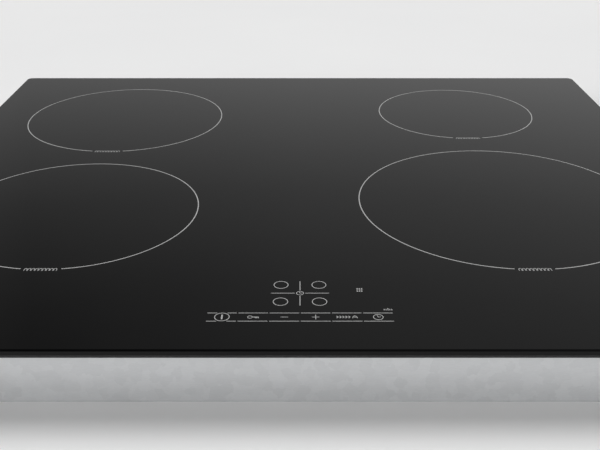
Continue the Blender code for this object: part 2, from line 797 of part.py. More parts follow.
def make_filter_board():
    """Mains filter on four feet, with its chokes and capacitors."""
    x, y = (-0.062, 0.032), (0.080, 0.180)
    top = BOARD_LOW + BOARD_SIZE[2]
    board = box("filter_board", x, y, (BOARD_LOW, top), "circuit_board")
    sunk = BOARD_LOW + BOARD_SIZE[2] / 2
    parts = [
        slab("choke", [circle(0.016, (-0.036, 0.138), 16)], sunk, top + 0.016, home=TOOLS),
        box("filter_capacitor_1", (-0.008, 0.024), (0.146, 0.162), (sunk, top + 0.018), home=TOOLS),
        box("filter_capacitor_2", (-0.008, 0.024), (0.120, 0.134), (sunk, top + 0.015), home=TOOLS),
        box("relay", (-0.052, -0.022), (0.088, 0.104), (sunk, top + 0.015), home=TOOLS),
    ]
    for sx in (x[0] + 0.008, x[1] - 0.008):
        for sy in (y[0] + 0.008, y[1] - 0.008):
            name = f"foot_{sx:.3f}_{sy:.3f}"
            parts.append(slab(name, [circle(0.003, (sx, sy), 8)], FLOOR, sunk, home=TOOLS))
    unite(board, merged("filter_parts", parts))


def make_terminal_box():
    """A box set in the rear wall, whose recessed plate has the lid's opening and the gland's hole."""
    casing = box("terminal_box", BOX_X, (BOX_FRONT, TRAY_DEPTH / 2 + SKIRT_OUT), BOX_Z, "black_plastic")
    inside_x = (BOX_X[0] + BOX_WALL, BOX_X[1] - BOX_WALL)
    inside_z = (BOX_Z[0] + BOX_WALL, BOX_Z[1] - BOX_WALL)
    plate_in, plate_out = BOX_PLATE
    hollow = box("box_hollow", inside_x, (BOX_FRONT + BOX_WALL, plate_in), inside_z, home=TOOLS)
    recess = box("box_recess", inside_x, (plate_out, plate_out + 0.02), inside_z, home=TOOLS)
    doorway = box(
        "box_doorway",
        (LID_X[0] + 0.0025, LID_X[1] - 0.0025),
        (plate_in - 0.001, plate_out + 0.001),
        (LID_PIVOT[1] + 0.0033, LID_TOP - 0.002),
        home=TOOLS,
    )
    gland_hole = slab("gland_hole", [circle(0.0082)], -0.004, 0.004, home=TOOLS)
    wire_hole = slab("wire_hole", [circle(0.0042, steps=12)], -0.004, 0.004, home=TOOLS)
    for hole in (gland_hole, wire_hole):
        hole.rotation_euler.x = radians(-90)
    gland_hole.location = (GLAND_X, plate_in, GLAND_Z)
    wire_hole.location = (-0.030, BOX_FRONT, 0.0139)
    cut(casing, hollow, recess, doorway, gland_hole, wire_hole)
    py, pz = LID_PIVOT
    lugs, pin_holes = [], []
    spans = ((LID_X[0] - GAP - LUG_THICK, LID_X[0] - GAP), (LID_X[1] + GAP, LID_X[1] + GAP + LUG_THICK))
    for i, (low, high) in enumerate(spans):
        span_y, span_z = (plate_out - 0.001, py + 0.0018), (pz - 0.003, pz + 0.0018)
        lugs.append(box(f"lug_{i}", (low, high), span_y, span_z, home=TOOLS))
        bore = circle(0.0011, (py, pz), 12)
        reach = (low - 0.0004, high + 0.0004)
        pin_holes.append(profile_along(f"pin_hole_{i}", "X", bore, *reach, home=TOOLS))
    unite(casing, merged("lid_lugs", lugs))
    cut(casing, merged("lid_pin_holes", pin_holes))


def make_terminal_lid():
    """A snap lid that swings down and back on two stub pins."""
    py, pz = LID_PIVOT
    face = BOX_PLATE[1] + GAP
    lid = box("terminal_lid", LID_X, (face, face + LID_THICK), (pz, LID_TOP), "black_plastic")
    barrel = profile_along("lid_barrel", "X", circle(0.0015, (py, pz), 12), *LID_X, home=TOOLS)
    reach = (LID_X[0] - 0.0019, LID_X[1] + 0.0019)
    pins = profile_along("lid_pins", "X", circle(0.0008, (py, pz), 12), *reach, home=TOOLS)
    middle = (LID_X[0] + LID_X[1]) / 2
    tab = box(
        "lid_tab",
        (middle - 0.007, middle + 0.007),
        (face + LID_THICK / 2, face + LID_THICK + 0.0015),
        (LID_TOP - 0.0024, LID_TOP - 0.0006),
        home=TOOLS,
    )
    unite(lid, barrel, pins, tab)


def make_terminal_block():
    """Five screw terminals on a moulded block."""
    low, pitch = -0.0490, 0.0095
    spans = ((-0.0500, -0.0020), (0.1980, 0.2160), (0.0068, 0.0150))
    block = box("terminal_block", *spans, "terminal_plastic")
    posts = [
        box(
            f"terminal_{i}",
            (low + pitch * i, low + pitch * i + 0.0078),
            (0.2005, 0.2135),
            (0.0140, 0.0215),
            home=TOOLS,
        )
        for i in range(5)
    ]
    unite(block, merged("terminal_posts", posts))


def make_gland():
    """The strain relief for the mains cable, screwed through its plate."""
    profile = [
        (GLAND_BORE + 0.0006, 0.0062),
        (0.0078, 0.0062),
        (0.0100, 0.0042),
        (0.0100, GAP),
        (0.0078, GAP),
        (0.0078, -0.0120),
        (GLAND_BORE, -0.0120),
        (GLAND_BORE, 0.0050),
    ]
    gland = turned("cable_gland", profile, (0, 0), "black_plastic", steps=20)
    gland.rotation_euler.x = radians(-90)
    gland.location = (GLAND_X, BOX_PLATE[1], GLAND_Z)


def make_control_unit():
    """A carrier with the touch board: six key electrodes, four digit displays and a timer display."""
    width, depth = CONTROL_SIZE
    low, high = CONTROL_Z
    centre = (0, CONTROL_FRONT + depth / 2)
    outer = rounded_rectangle(width, depth, 0.004, centre, steps=2)
    carrier = slab("control_carrier", [outer], low, high, "black_plastic")
    size = (width - 2 * CONTROL_WALL, depth - 2 * CONTROL_WALL)
    inner = rounded_rectangle(*size, 0.0025, centre, steps=2)
    hollow = slab("control_hollow", [inner], low + CONTROL_WALL, high + 0.002, home=TOOLS)
    legs = []
    for side in (-1, 1):
        foot = circle(0.004, (side * 0.080, centre[1]), 12)
        legs.append(slab(f"control_leg_{side}", [foot], FLOOR, low + 0.001, home=TOOLS))
    pillars = [
        slab(
            f"control_pillar_{i}",
            [circle(0.003, (sx * 0.088, centre[1] + sy * 0.017), 8)],
            low + CONTROL_WALL / 2,
            0.0402 - GAP,
            home=TOOLS,
        )
        for i, (sx, sy) in enumerate(((-1, -1), (-1, 1), (1, -1), (1, 1)))
    ]
    cut(carrier, hollow)
    unite(carrier, merged("control_supports", legs + pillars))
    board_low, board_top = 0.0402, 0.0418
    reach = (width / 2 - CONTROL_WALL - 0.001, depth / 2 - CONTROL_WALL - 0.001)
    board = box(
        "control_board",
        (-reach[0], reach[0]),
        (centre[1] - reach[1], centre[1] + reach[1]),
        (board_low, board_top),
        "circuit_board",
    )
    sunk, top = (board_low + board_top) / 2, FRAME_TOP - 0.0003
    parts = [
        slab(f"key_{i}", [circle(0.0035, ((i - 2.5) * KEY_PITCH, KEY_Y), 10)], sunk, top, home=TOOLS)
        for i in range(6)
    ]
    for i, (x, y) in enumerate([(sx * DISPLAY_X, y) for sx in (-1, 1) for y in DISPLAY_Y]):
        spans = ((x - 0.0045, x + 0.0045), (y - 0.006, y + 0.006))
        parts.append(box(f"digit_{i}", *spans, (sunk, top), home=TOOLS))
    parts.append(box("timer", (0.0380, 0.0580), (-0.2060, -0.1930), (sunk, top), home=TOOLS))
    unite(board, merged("control_parts", parts))


def make_wiring():
    """A ribbon from the touch board to the filter board, and the mains wires behind it."""
    ribbon = [
        (-0.1806, 0.0362),
        (-0.1760, 0.0362),
        (-0.1735, 0.0340),
        (-0.1715, 0.0080),
        (-0.1695, 0.0046),
        (-0.1650, 0.0036),
        (0.0660, 0.0036),
        (0.0720, 0.0046),
        (0.0740, 0.0080),
        (0.0760, 0.0100),
        (0.0830, 0.0105),
    ]
    profile_along("control_ribbon", "X", strip(ribbon, 0.0008), -0.060, -0.046, "ribbon")
    start, end = Vector((-0.030, 0.1950, 0.016)), Vector((-0.030, 0.1780, 0.0110))
    curve = bpy.data.curves.new("mains_wires", "CURVE")
    curve.dimensions = "3D"
    curve.bevel_depth = 0.0028
    curve.bevel_resolution = 2
    curve.use_fill_caps = True
    spline = curve.splines.new("POLY")
    steps = 6
    spline.points.add(steps)
    for i in range(steps + 1):
        share = i / steps
        eased = share * share * (3 - 2 * share)
        place = start.lerp(end, share)
        place.z = start.z + (end.z - start.z) * eased
        spline.points[i].co = (*place, 1)
    add("mains_wires", curve, "wire", PIECES)


for old in list(bpy.data.objects):
    bpy.data.objects.remove(old)
PIECES = bpy.data.collections.new("induction_cooktop")
TOOLS = bpy.data.collections.new("cutters")
for collection in (PIECES, TOOLS):
    bpy.context.scene.collection.children.link(collection)

make_glass()
make_seal()
make_frame()
make_tray()
make_case_screws()
make_retaining_springs()
for zone_name in ZONES:
    make_coil(zone_name)
for side_name in STAGES:
    make_coil_plate(side_name)
    make_plate_springs(side_name)
    make_power_unit(side_name)
    make_fan(side_name)
make_filter_board()
make_terminal_box()
make_terminal_lid()
make_terminal_block()
make_gland()
make_control_unit()
make_wiring()
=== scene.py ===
"""Looks of the built-in induction cooktop: black glass with its print, sheet metal, coils and boards.

Metres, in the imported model's own frame: +Z up, the controls at the front (-Y).
"""

from math import cos, pi, radians, sin

import bmesh
import bpy
from mathutils import Matrix, Vector


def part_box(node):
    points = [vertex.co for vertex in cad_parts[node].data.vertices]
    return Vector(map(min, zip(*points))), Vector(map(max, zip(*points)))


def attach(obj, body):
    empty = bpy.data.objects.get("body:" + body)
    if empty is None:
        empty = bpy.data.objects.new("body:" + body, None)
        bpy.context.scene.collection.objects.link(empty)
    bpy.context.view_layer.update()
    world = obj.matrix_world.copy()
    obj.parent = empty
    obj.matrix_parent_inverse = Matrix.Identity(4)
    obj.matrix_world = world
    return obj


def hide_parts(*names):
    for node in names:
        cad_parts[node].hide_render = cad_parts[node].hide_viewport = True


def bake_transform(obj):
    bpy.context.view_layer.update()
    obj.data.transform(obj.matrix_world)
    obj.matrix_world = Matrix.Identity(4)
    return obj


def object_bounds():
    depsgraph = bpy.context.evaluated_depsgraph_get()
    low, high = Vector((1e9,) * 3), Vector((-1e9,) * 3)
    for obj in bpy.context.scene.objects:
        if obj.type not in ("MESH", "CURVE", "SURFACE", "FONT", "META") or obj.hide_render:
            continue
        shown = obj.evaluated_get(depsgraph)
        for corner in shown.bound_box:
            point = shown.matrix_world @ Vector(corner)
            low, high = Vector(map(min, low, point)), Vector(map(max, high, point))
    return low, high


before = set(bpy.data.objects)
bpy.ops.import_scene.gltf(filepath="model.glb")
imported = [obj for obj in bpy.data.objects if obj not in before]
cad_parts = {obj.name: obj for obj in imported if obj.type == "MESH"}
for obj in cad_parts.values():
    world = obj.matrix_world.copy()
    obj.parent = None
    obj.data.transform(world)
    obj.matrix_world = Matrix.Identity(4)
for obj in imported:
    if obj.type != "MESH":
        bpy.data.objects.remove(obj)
cad_low, cad_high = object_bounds()

# The camera: its lens, how far it stands in front of the glass and above it, and how far down it looks.
CAMERA_LENS = 51.17
CAMERA_AHEAD = 0.3844
CAMERA_ABOVE = 0.2616
CAMERA_PITCH = 25.89

# The studio's brightness by the sine of the height looked at, and what its sides add to that.
SKY = ((0, 0.80), (0.4, 0.26), (0.5, 0.19), (0.85, 0.05))
SIDE_GLOW = ((-0.6, 0.0), (-0.3, -0.10), (0, 0), (0.3, 0.04))

# The glass plate. Its print stands on it by PRINT_THICK, so its face is that much below the CAD top.
GLASS_LOW, GLASS_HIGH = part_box("glass_plate")
FRONT = GLASS_LOW.y
PRINT_THICK = 0.00005
PRINT_SUNK = 0.00001
GLASS_FACE = GLASS_HIGH.z - PRINT_THICK
GLASS_CORNER = 0.006
GLASS_FACET = 0.0009
GLASS_ARRIS = 0.0004

# Print line widths.
RING_LINE = 0.00076
KEY_LINE = 0.00045
CROSS_LINE = 0.00046
DISPLAY_LINE = 0.00044
ICON_LINE = 0.00039

# Marked zones: the front and rear of each side, with the ring this far outside its coil former.
ZONES = ("front_left", "rear_left", "front_right", "rear_right")
SIDES = ("left", "right")
RING_OUTSIDE = 0.0025
RING_GAP = 0.026
COIL_MARK = (0.0212, 0.0030)

# Touch panel: distances back from the glass's front edge, and across from its middle.
KEY_ROW = (0.0291, 0.0379)
KEY_COUNT = 6
KEY_LENGTH = 0.0171
KEY_PITCH = 0.01805
CROSS_BACK = 0.0605
CROSS_GAP = 0.0032
CROSS_REACH = (0.0175, 0.0143)
DISPLAY_ACROSS = 0.0116
DISPLAY_BACK = (0.0506, 0.0705)
DISPLAY_RADIUS = 0.0043
POWER_RADIUS = 0.0042

# Sheet metal. A leaf bends at these distances (out from its hook, down from its top).
TRAY_EMBOSS = 0.001
LEAF_THICK = 0.0006
LEAF_BENDS = ((0, 0), (0, 0.0021), (0.0008, 0.0029), (0.0046, 0.0029), (0.0055, 0.0039), (0.0088, 0.0189),
              (0.0088, 0.0209), (0.0072, 0.0294), (0.0078, 0.0309))

# Coils, boards and fans. A fan casing's cut-off is an angle, and its lugs are at steps of its spiral.
HUB_OUTER = 0.0105
HUB_INNER = 0.0080
WINDING_INNER = 0.020
LITZ_PITCH = 0.0027
BOARD_THICK = 0.0016
FAN_WALL = 0.0018
FAN_CUTOFF = 75
FAN_SMALL_RADIUS = 0.033
FAN_EYE = 0.0265
VOLUTE_STEPS = 72
FAN_LUGS = (34, 64)
FAN_HUB = 0.014
BLADE_INNER = 0.0215
BLADES = 13
SCREW_HEAD = ((0, 0), (0.0026, 0), (0.0028, 0.0004), (0.0024, 0.0014), (0, 0.0018))

# Outlines.


def arc(centre, radius, start, end, steps):
    """Points from angle start to angle end, in degrees, both included."""
    angles = [radians(start + (end - start) * i / steps) for i in range(steps + 1)]
    return [Vector((centre[0] + radius * cos(a), centre[1] + radius * sin(a))) for a in angles]


def circle(centre, radius, steps=48):
    return arc(centre, radius, 0, 360, steps)[:-1]


def rounded_rectangle(width, depth, radius, centre=(0, 0), steps=8):
    x, y = width / 2 - radius, depth / 2 - radius
    corners = ((x, y, 0), (-x, y, 90), (-x, -y, 180), (x, -y, 270))
    points = []
    for cx, cy, start in corners:
        points += arc((centre[0] + cx, centre[1] + cy), radius, start, start + 90, steps)
    return points


def lobed(radius, depth, lobes, steps=48):
    """A circle whose radius swells and shrinks `lobes` times."""
    angles = [2 * pi * i / steps for i in range(steps)]
    return [Vector((cos(a), sin(a))) * (radius + depth * cos(lobes * a)) for a in angles]


def eased(points, radius, steps=4):
    """The same open line with each bend rounded."""
    points = [Vector(p) for p in points]
    smooth = [points[0]]
    for before, here, after in zip(points, points[1:], points[2:]):
        back, ahead = before - here, after - here
        cut = min(radius, back.length * 0.45, ahead.length * 0.45)
        start, end = here + back.normalized() * cut, here + ahead.normalized() * cut
        for i in range(steps + 1):
            t = i / steps
            smooth.append(start.lerp(here, t).lerp(here.lerp(end, t), t))
    return smooth + [points[-1]]


def offsets(points, half, closed):
    """The two sides of a line of that half width, mitred where it bends."""
    count = len(points)
    left, right = [], []
    for i, point in enumerate(points):
        before = points[i] - points[i - 1] if (i or closed) else points[1] - points[0]
        after = points[(i + 1) % count] - points[i] if (i < count - 1 or closed) else before
        before, after = before.normalized(), after.normalized()
        middle = (before + after).normalized()
        across = Vector((-middle.y, middle.x)) * (half / max(middle.dot(after), 0.3))
        left.append(point + across)
        right.append(point - across)
    return left, right


def oval(wide, tall, sides=8):
    """A sweep's section, `wide` across and `tall` up."""
    angles = [2 * pi * (i + 0.5) / sides for i in range(sides)]
    return [(wide / 2 * cos(a), tall / 2 * sin(a)) for a in angles]


def drum(radius, low, high, hole=0.0):
    """A turned profile: a plain disc, or a ring if it has a hole."""
    return (hole, low), (radius, low), (radius, high), (hole, high)


def upright(low, high, z):
    """The placement at the middle of a box, at a height."""
    return Matrix.Translation(((low.x + high.x) / 2, (low.y + high.y) / 2, z))


def facing(direction, at):
    """The placement that turns +Z to a direction, at a point."""
    turn = Vector(direction).to_track_quat("Z", "Y").to_matrix().to_4x4()
    return Matrix.Translation(at) @ turn


# Shapes.


class Shape:
    """One piece while it is being built, in the model's frame or about a point of its own."""

    def __init__(self):
        self.bm = bmesh.new()

    def loop(self, points, z=0.0, place=None):
        corners = [Vector((*point[:2], z)) for point in points]
        if place:
            corners = [place @ corner for corner in corners]
        return [self.bm.verts.new(corner) for corner in corners]

    def bridge(self, one, two):
        """Quads between two loops of the same length, or a fan where one of them is a point."""
        for i in range(max(len(one), len(two))):
            j = (i + 1) % max(len(one), len(two))
            if len(one) == 1:
                self.bm.faces.new((one[0], two[j], two[i]))
            elif len(two) == 1:
                self.bm.faces.new((one[i], one[j], two[0]))
            else:
                self.bm.faces.new((one[i], one[j], two[j], two[i]))

    def stack(self, loops, closed=False):
        """Joins loops in a row, and caps the ends unless the row is closed."""
        for one, two in zip(loops, loops[1:]):
            self.bridge(one, two)
        if closed:
            self.bridge(loops[-1], loops[0])
            return self
        for end in (loops[0], loops[-1]):
            if len(end) > 2:
                self.bm.faces.new(end)
        return self

    def prism(self, outline, low, high, place=None):
        """A flat outline given thickness."""
        return self.stack([self.loop(outline, low, place), self.loop(outline, high, place)])

    def line(self, points, width, low, high, closed=False):
        """A flat ribbon along the points, as a printed line is."""
        left, right = offsets([Vector(p) for p in points], width / 2, closed)
        if not closed:
            return self.prism(left + right[::-1], low, high)
        edges = ((left, low), (left, high), (right, high), (right, low))
        return self.stack([self.loop(side, z) for side, z in edges], closed=True)

    def block(self, low, high, round_by=0.0):
        """A box between two corners, with its edges rounded."""
        low, high = Vector(low), Vector(high)
        place = Matrix.Translation((low + high) / 2) @ Matrix.Diagonal((*(high - low), 1))
        verts = bmesh.ops.create_cube(self.bm, size=1, matrix=place)["verts"]
        if round_by:
            edges = list(dict.fromkeys(edge for vert in verts for edge in vert.link_edges))
            bmesh.ops.bevel(self.bm, geom=edges, offset=round_by, segments=2, profile=0.5, affect="EDGES")
        return self

    def turned(self, profile, place=None, steps=32):
        """A round solid about Z, from (radius, height) points. It is a ring if they start off the axis."""
        loops = []
        for radius, z in profile:
            outline = circle((0, 0), radius, steps) if radius > 1e-7 else [Vector((0, 0))]
            loops.append(self.loop(outline, z, place))
        return self.stack(loops, closed=profile[0][0] > 1e-7)

    def sweep(self, points, section, up=(0, 0, 1), side=None, closed=False, widths=None):
        """A section (across, up) carried along a line. up or side is held, and widths scale it across."""
        points = [Vector(p) for p in points]
        loops = []
        for i, point in enumerate(points):
            before = points[i - 1] if (i or closed) else point
            after = points[(i + 1) % len(points)] if (i < len(points) - 1 or closed) else point
            along = (after - before).normalized()
            across = Vector(side) if side else along.cross(Vector(up)).normalized()
            rise = across.cross(along)
            wide = widths[i] if widths else 1.0
            loops.append([self.bm.verts.new(point + across * a * wide + rise * b) for a, b in section])
        return self.stack(loops, closed)

    def done(self, name, look, body="hob", slot=None, stands_for=(), smooth=30, at=None):
        """The finished piece, riding on its body. Faces that meet at under `smooth` degrees shade as one."""
        bmesh.ops.recalc_face_normals(self.bm, faces=self.bm.faces)
        mesh = bpy.data.meshes.new(name)
        self.bm.to_mesh(mesh)
        self.bm.free()
        if smooth:
            mesh.polygons.foreach_set("use_smooth", [True] * len(mesh.polygons))
            mesh.set_sharp_from_angle(angle=radians(smooth))
        mesh.materials.append(LOOKS[look])
        made = bpy.data.objects.new(name, mesh)
        bpy.context.scene.collection.objects.link(made)
        if at:
            made.location = at
        if body:
            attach(made, body)
        if stands_for:
            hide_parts(*([stands_for] if isinstance(stands_for, str) else stands_for))
        return made

# Materials.


class Look:
    """A Principled material, with short ways to add the nodes that feed it. Patterns are in metres."""

    def __init__(self, name, colour, roughness, metallic=0.0, **sockets):
        self.material = bpy.data.materials.new(name)
        self.material.use_nodes = True
        self.tree = self.material.node_tree
        self.shader = self.tree.nodes["Principled BSDF"]
        self.shader.inputs["Base Color"].default_value = (*colour, 1)
        self.shader.inputs["Roughness"].default_value = roughness
        self.shader.inputs["Metallic"].default_value = metallic
        for socket, value in sockets.items():
            self.shader.inputs[socket.replace("_", " ")].default_value = value
        self.place = self.tree.nodes.new("ShaderNodeTexCoord").outputs["Object"]

    def add(self, kind, links=None, **settings):
        made = self.tree.nodes.new("ShaderNode" + kind)
        for key, value in settings.items():
            setattr(made, key, value)
        for key, value in (links or {}).items():
            if isinstance(value, bpy.types.NodeSocket):
                self.tree.links.new(value, made.inputs[key])
            else:
                made.inputs[key].default_value = value
        return made

    def noise(self, size, detail=3.0, stretch=None):
        """Values round 0.5, with features of about `size` metres. stretch packs them closer on an axis."""
        vector = self.place
        if stretch:
            vector = self.add("Mapping", {"Vector": self.place, "Scale": stretch}).outputs["Vector"]
        links = {"Vector": vector, "Scale": 1 / size, "Detail": detail}
        return self.add("TexNoise", links).outputs["Fac"]

    def cells(self, size, output="Distance", feature="F1", randomness=1.0, distance="EUCLIDEAN"):
        links = {"Vector": self.place, "Scale": 1 / size, "Randomness": randomness}
        return self.add("TexVoronoi", links, feature=feature, distance=distance).outputs[output]

    def math(self, operation, one, two=0.0):
        return self.add("Math", {0: one, 1: two}, operation=operation).outputs[0]

    def span(self, value, low, high, start=0.3, end=0.7):
        """The value's part from start to end, spread over low to high."""
        links = {"Value": value, "From Min": start, "From Max": end, "To Min": low, "To Max": high}
        return self.add("MapRange", links).outputs["Result"]

    def mix(self, share, one, two):
        made = self.add("Mix", None, data_type="RGBA")
        for key, value in ((0, share), (6, one), (7, two)):
            if isinstance(value, bpy.types.NodeSocket):
                self.tree.links.new(value, made.inputs[key])
            else:
                made.inputs[key].default_value = (*value, 1)
        return made.outputs[2]

    def feed(self, socket, value):
        self.tree.links.new(value, self.shader.inputs[socket])
        return self

    def bump(self, height, distance, strength=1.0):
        links = {"Height": height, "Distance": distance, "Strength": strength}
        return self.feed("Normal", self.add("Bump", links).outputs["Normal"])

    def shades(self, value, one, two, start=0.35, end=0.65):
        """Base colour from one to two as the value goes from start to end."""
        return self.feed("Base Color", self.mix(self.span(value, 0.0, 1.0, start, end), one, two))


def tinted(colour, factor):
    return tuple(min(1.0, channel * factor) for channel in colour)


def glass_face():
    look = Look("glass_ceramic_face", (0.003, 0.003, 0.0031), 0.04, IOR=1.5)
    look.shades(look.noise(0.09, 4.0), (0.0027, 0.0027, 0.0028), (0.0034, 0.0034, 0.0034))
    return look.feed("Roughness", look.span(look.noise(0.03, 5.0), 0.03, 0.055)).material


def glass_facet():
    """The facet round the top, ground and then polished."""
    look = Look("glass_ceramic_facet", (0.0020, 0.0020, 0.0021), 0.10, IOR=1.37)
    grain = look.noise(0.0012, 3.0)
    look.shades(grain, (0.0016, 0.0016, 0.0017), (0.0024, 0.0024, 0.0025))
    return look.feed("Roughness", look.span(grain, 0.06, 0.12)).material


def glass_side():
    """The side, left matt by the grinding wheel, whose marks run along it."""
    look = Look("glass_ceramic_side", (0.003, 0.003, 0.0031), 0.35, IOR=1.25)
    grain = look.noise(0.004, 3.0, stretch=(1, 1, 30))
    look.shades(grain, (0.0022, 0.0022, 0.0023), (0.0036, 0.0036, 0.0037))
    look.feed("Roughness", look.span(grain, 0.30, 0.42))
    return look.bump(grain, 0.00001, 0.3).material


def glass_back():
    """The underside: black enamel over the fine dimples that glass-ceramic is rolled with."""
    look = Look("glass_ceramic_back", (0.010, 0.010, 0.011), 0.45)
    dimples = look.cells(0.0028, feature="SMOOTH_F1", randomness=0.25)
    look.shades(dimples, (0.014, 0.014, 0.015), (0.007, 0.007, 0.008), 0.1, 0.6)
    return look.bump(dimples, 0.00015, 0.5).material


def print_ink():
    """Pale grey ceramic ink, with the faint speckle of its screen."""
    look = Look("print_ink", (0.44, 0.44, 0.44), 0.55)
    tone = look.mix(look.span(look.noise(0.02), 0.0, 1.0), (0.46, 0.46, 0.455), (0.41, 0.41, 0.41))
    speckle = look.span(look.cells(0.0002), 0.0, 0.35, 0.3, 0.9)
    return look.feed("Base Color", look.mix(speckle, tone, (0.25, 0.25, 0.25))).material


def galvanised():
    """Zinc-coated sheet: flakes with frayed edges, each a little different, over the rolling grain."""
    look = Look("zinc_steel", (0.66, 0.67, 0.68), 0.42, 0.7)
    ragged = look.add("TexNoise", {"Vector": look.place, "Scale": 400.0}).outputs["Color"]
    shift = look.add("VectorMath", {0: ragged, 1: (0.004,) * 3}, operation="MULTIPLY").outputs["Vector"]
    spot = look.add("VectorMath", {0: look.place, 1: shift}, operation="ADD").outputs["Vector"]
    flakes = look.add("TexVoronoi", {"Vector": spot, "Scale": 170.0}).outputs["Color"]
    tone = look.add("RGBToBW", {0: flakes}).outputs[0]
    grain = look.noise(0.003, 4.0, stretch=(1, 8, 8))
    mixed = look.math("ADD", tone, look.span(grain, -0.25, 0.25))
    look.shades(mixed, (0.635, 0.645, 0.655), (0.695, 0.705, 0.715), 0.1, 0.9)
    look.feed("Roughness", look.span(mixed, 0.36, 0.47, 0.0, 1.0))
    return look.bump(grain, 0.00001, 0.25).material


def powder_coat():
    """Black powder coat, with its fine orange peel."""
    look = Look("frame_steel", (0.018, 0.018, 0.019), 0.45)
    peel = look.noise(0.0011, 2.0)
    look.shades(look.noise(0.03, 4.0), (0.016, 0.016, 0.017), (0.024, 0.024, 0.025))
    look.feed("Roughness", look.span(peel, 0.38, 0.52))
    return look.bump(peel, 0.00004, 0.5).material


def brushed(name, colour, roughness, stretch, depth=0.000004):
    """Bare metal with drawn or rolled marks: the stretch is high across them."""
    look = Look(name, colour, roughness, 0.85)
    marks = look.noise(0.004, 5.0, stretch)
    look.shades(marks, tinted(colour, 0.9), tinted(colour, 1.06))
    look.feed("Roughness", look.span(marks, roughness * 0.8, roughness * 1.25))
    return look.bump(marks, depth, 0.4).material


def moulded(name, colour, roughness=0.5, spread=0.12, depth=0.00003):
    """Moulded plastic: a spark-eroded grain, and a faint flow of lighter and darker tone."""
    look = Look(name, colour, roughness)
    grain = look.noise(0.0006, 3.0)
    look.shades(look.noise(0.02, 4.0), tinted(colour, 1 - spread), tinted(colour, 1 + spread))
    look.feed("Roughness", look.span(grain, roughness * 0.85, roughness * 1.15))
    return look.bump(grain, depth, 0.35).material


def closed_foam():
    look = Look("foam", (0.02, 0.02, 0.02), 0.95)
    pores = look.cells(0.0007)
    # The pore hollows are painted darker than the foam around them: painted shade in the pores.
    look.shades(pores, (0.012, 0.012, 0.012), (0.035, 0.035, 0.036), 0.2, 0.6)
    return look.bump(pores, 0.00015, 0.8).material


def litz():
    """Bundled copper wires: strands that twist round each turn of the winding. The grooves between strands
    are painted dark: painted shade.
    """
    look = Look("copper_litz", (0.62, 0.30, 0.15), 0.36, 0.85)
    angle = look.add("TexGradient", {"Vector": look.place}, gradient_type="RADIAL").outputs["Fac"]
    away = look.add("VectorMath", {0: look.place}, operation="LENGTH").outputs["Value"]
    twist = look.math("ADD", look.math("MULTIPLY", angle, 2 * pi * 190), look.math("MULTIPLY", away, 7200.0))
    strands = look.span(look.math("SINE", twist), 0.0, 1.0, -1.0, 1.0)
    tone = look.span(look.noise(0.006), 0.0, 1.0)
    bright = look.mix(tone, (0.66, 0.32, 0.16), (0.56, 0.25, 0.12))
    # The dark colour in the grooves between strands, where the bump sinks, is painted shade; the strand tops
    # keep the copper's own tone.
    look.feed("Base Color", look.mix(strands, (0.30, 0.12, 0.055), bright))
    return look.bump(strands, 0.00012, 0.8).material


def mica_sheet():
    """Pressed mica paper: small flakes in a cloudy binder."""
    look = Look("mica", (0.62, 0.55, 0.40), 0.42)
    flakes = look.add("RGBToBW", {0: look.cells(0.0016, "Color")}).outputs[0]
    mixed = look.math("ADD", look.math("MULTIPLY", flakes, 0.5), look.span(look.noise(0.03, 5.0), 0.0, 0.5))
    look.shades(mixed, (0.57, 0.50, 0.36), (0.66, 0.59, 0.44), 0.2, 0.8)
    return look.feed("Roughness", look.span(flakes, 0.3, 0.5, 0.1, 0.9)).material


def solder_mask():
    """Green mask over copper areas with straight edges, and tinned holes."""
    look = Look("circuit_board", (0.02, 0.16, 0.07), 0.38)
    borders = look.cells(0.011, feature="DISTANCE_TO_EDGE", distance="CHEBYCHEV")
    areas = look.span(borders, 0.0, 1.0, 0.05, 0.07)
    tracks = look.span(look.cells(0.0032, distance="MANHATTAN", randomness=0.4), 0.0, 1.0, 0.42, 0.46)
    copper = look.math("MULTIPLY", areas, tracks)
    mask = look.mix(copper, (0.010, 0.095, 0.045), (0.022, 0.19, 0.085))
    holes = look.span(look.cells(0.0046, randomness=0.9), 1.0, 0.0, 0.11, 0.14)
    look.feed("Base Color", look.mix(holes, mask, (0.62, 0.62, 0.58)))
    look.feed("Roughness", look.span(look.noise(0.002), 0.30, 0.42))
    return look.bump(copper, 0.00004, 0.8).material


def striped_cable():
    """Flat grey cable, its first wire marked red."""
    look = Look("ribbon", (0.55, 0.56, 0.58), 0.5)
    across = look.add("SeparateXYZ", {0: look.place}).outputs["X"]
    low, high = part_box("control_ribbon")
    red = look.span(across, 1.0, 0.0, low.x + 0.0011, low.x + 0.0013)
    grey = look.mix(look.span(look.noise(0.01), 0.0, 1.0), (0.52, 0.53, 0.55), (0.60, 0.61, 0.63))
    look.feed("Base Color", look.mix(red, grey, (0.50, 0.05, 0.04)))
    return look.feed("Roughness", look.span(look.noise(0.003), 0.42, 0.58)).material


def foil_label():
    """A silver label with a field of plain bars and no text."""
    look = Look("foil_label", (0.74, 0.75, 0.76), 0.3, 0.6)
    parts = look.add("SeparateXYZ", {0: look.place})
    dark = look.span(look.noise(0.0011, 0.0, stretch=(1, 0.001, 0.001)), 0.0, 1.0, 0.50, 0.52)
    for axis, centre, half in (("X", 0.014, 0.018), ("Y", -0.004, 0.008)):
        away = look.math("ABSOLUTE", look.math("SUBTRACT", parts.outputs[axis], centre))
        dark = look.math("MULTIPLY", dark, look.math("LESS_THAN", away, half))
    look.feed("Roughness", look.span(look.noise(0.002, 4.0, stretch=(1, 12, 1)), 0.26, 0.36))
    return look.feed("Base Color", look.mix(dark, (0.74, 0.75, 0.76), (0.03, 0.03, 0.03))).material


def lit_digit():
    """A seven-segment display's dark smoked face."""
    look = Look("display_face", (0.02, 0.018, 0.018), 0.2)
    look.shades(look.noise(0.003), (0.018, 0.014, 0.014), (0.028, 0.024, 0.024))
    return look.feed("Roughness", look.span(look.noise(0.001), 0.15, 0.28)).material


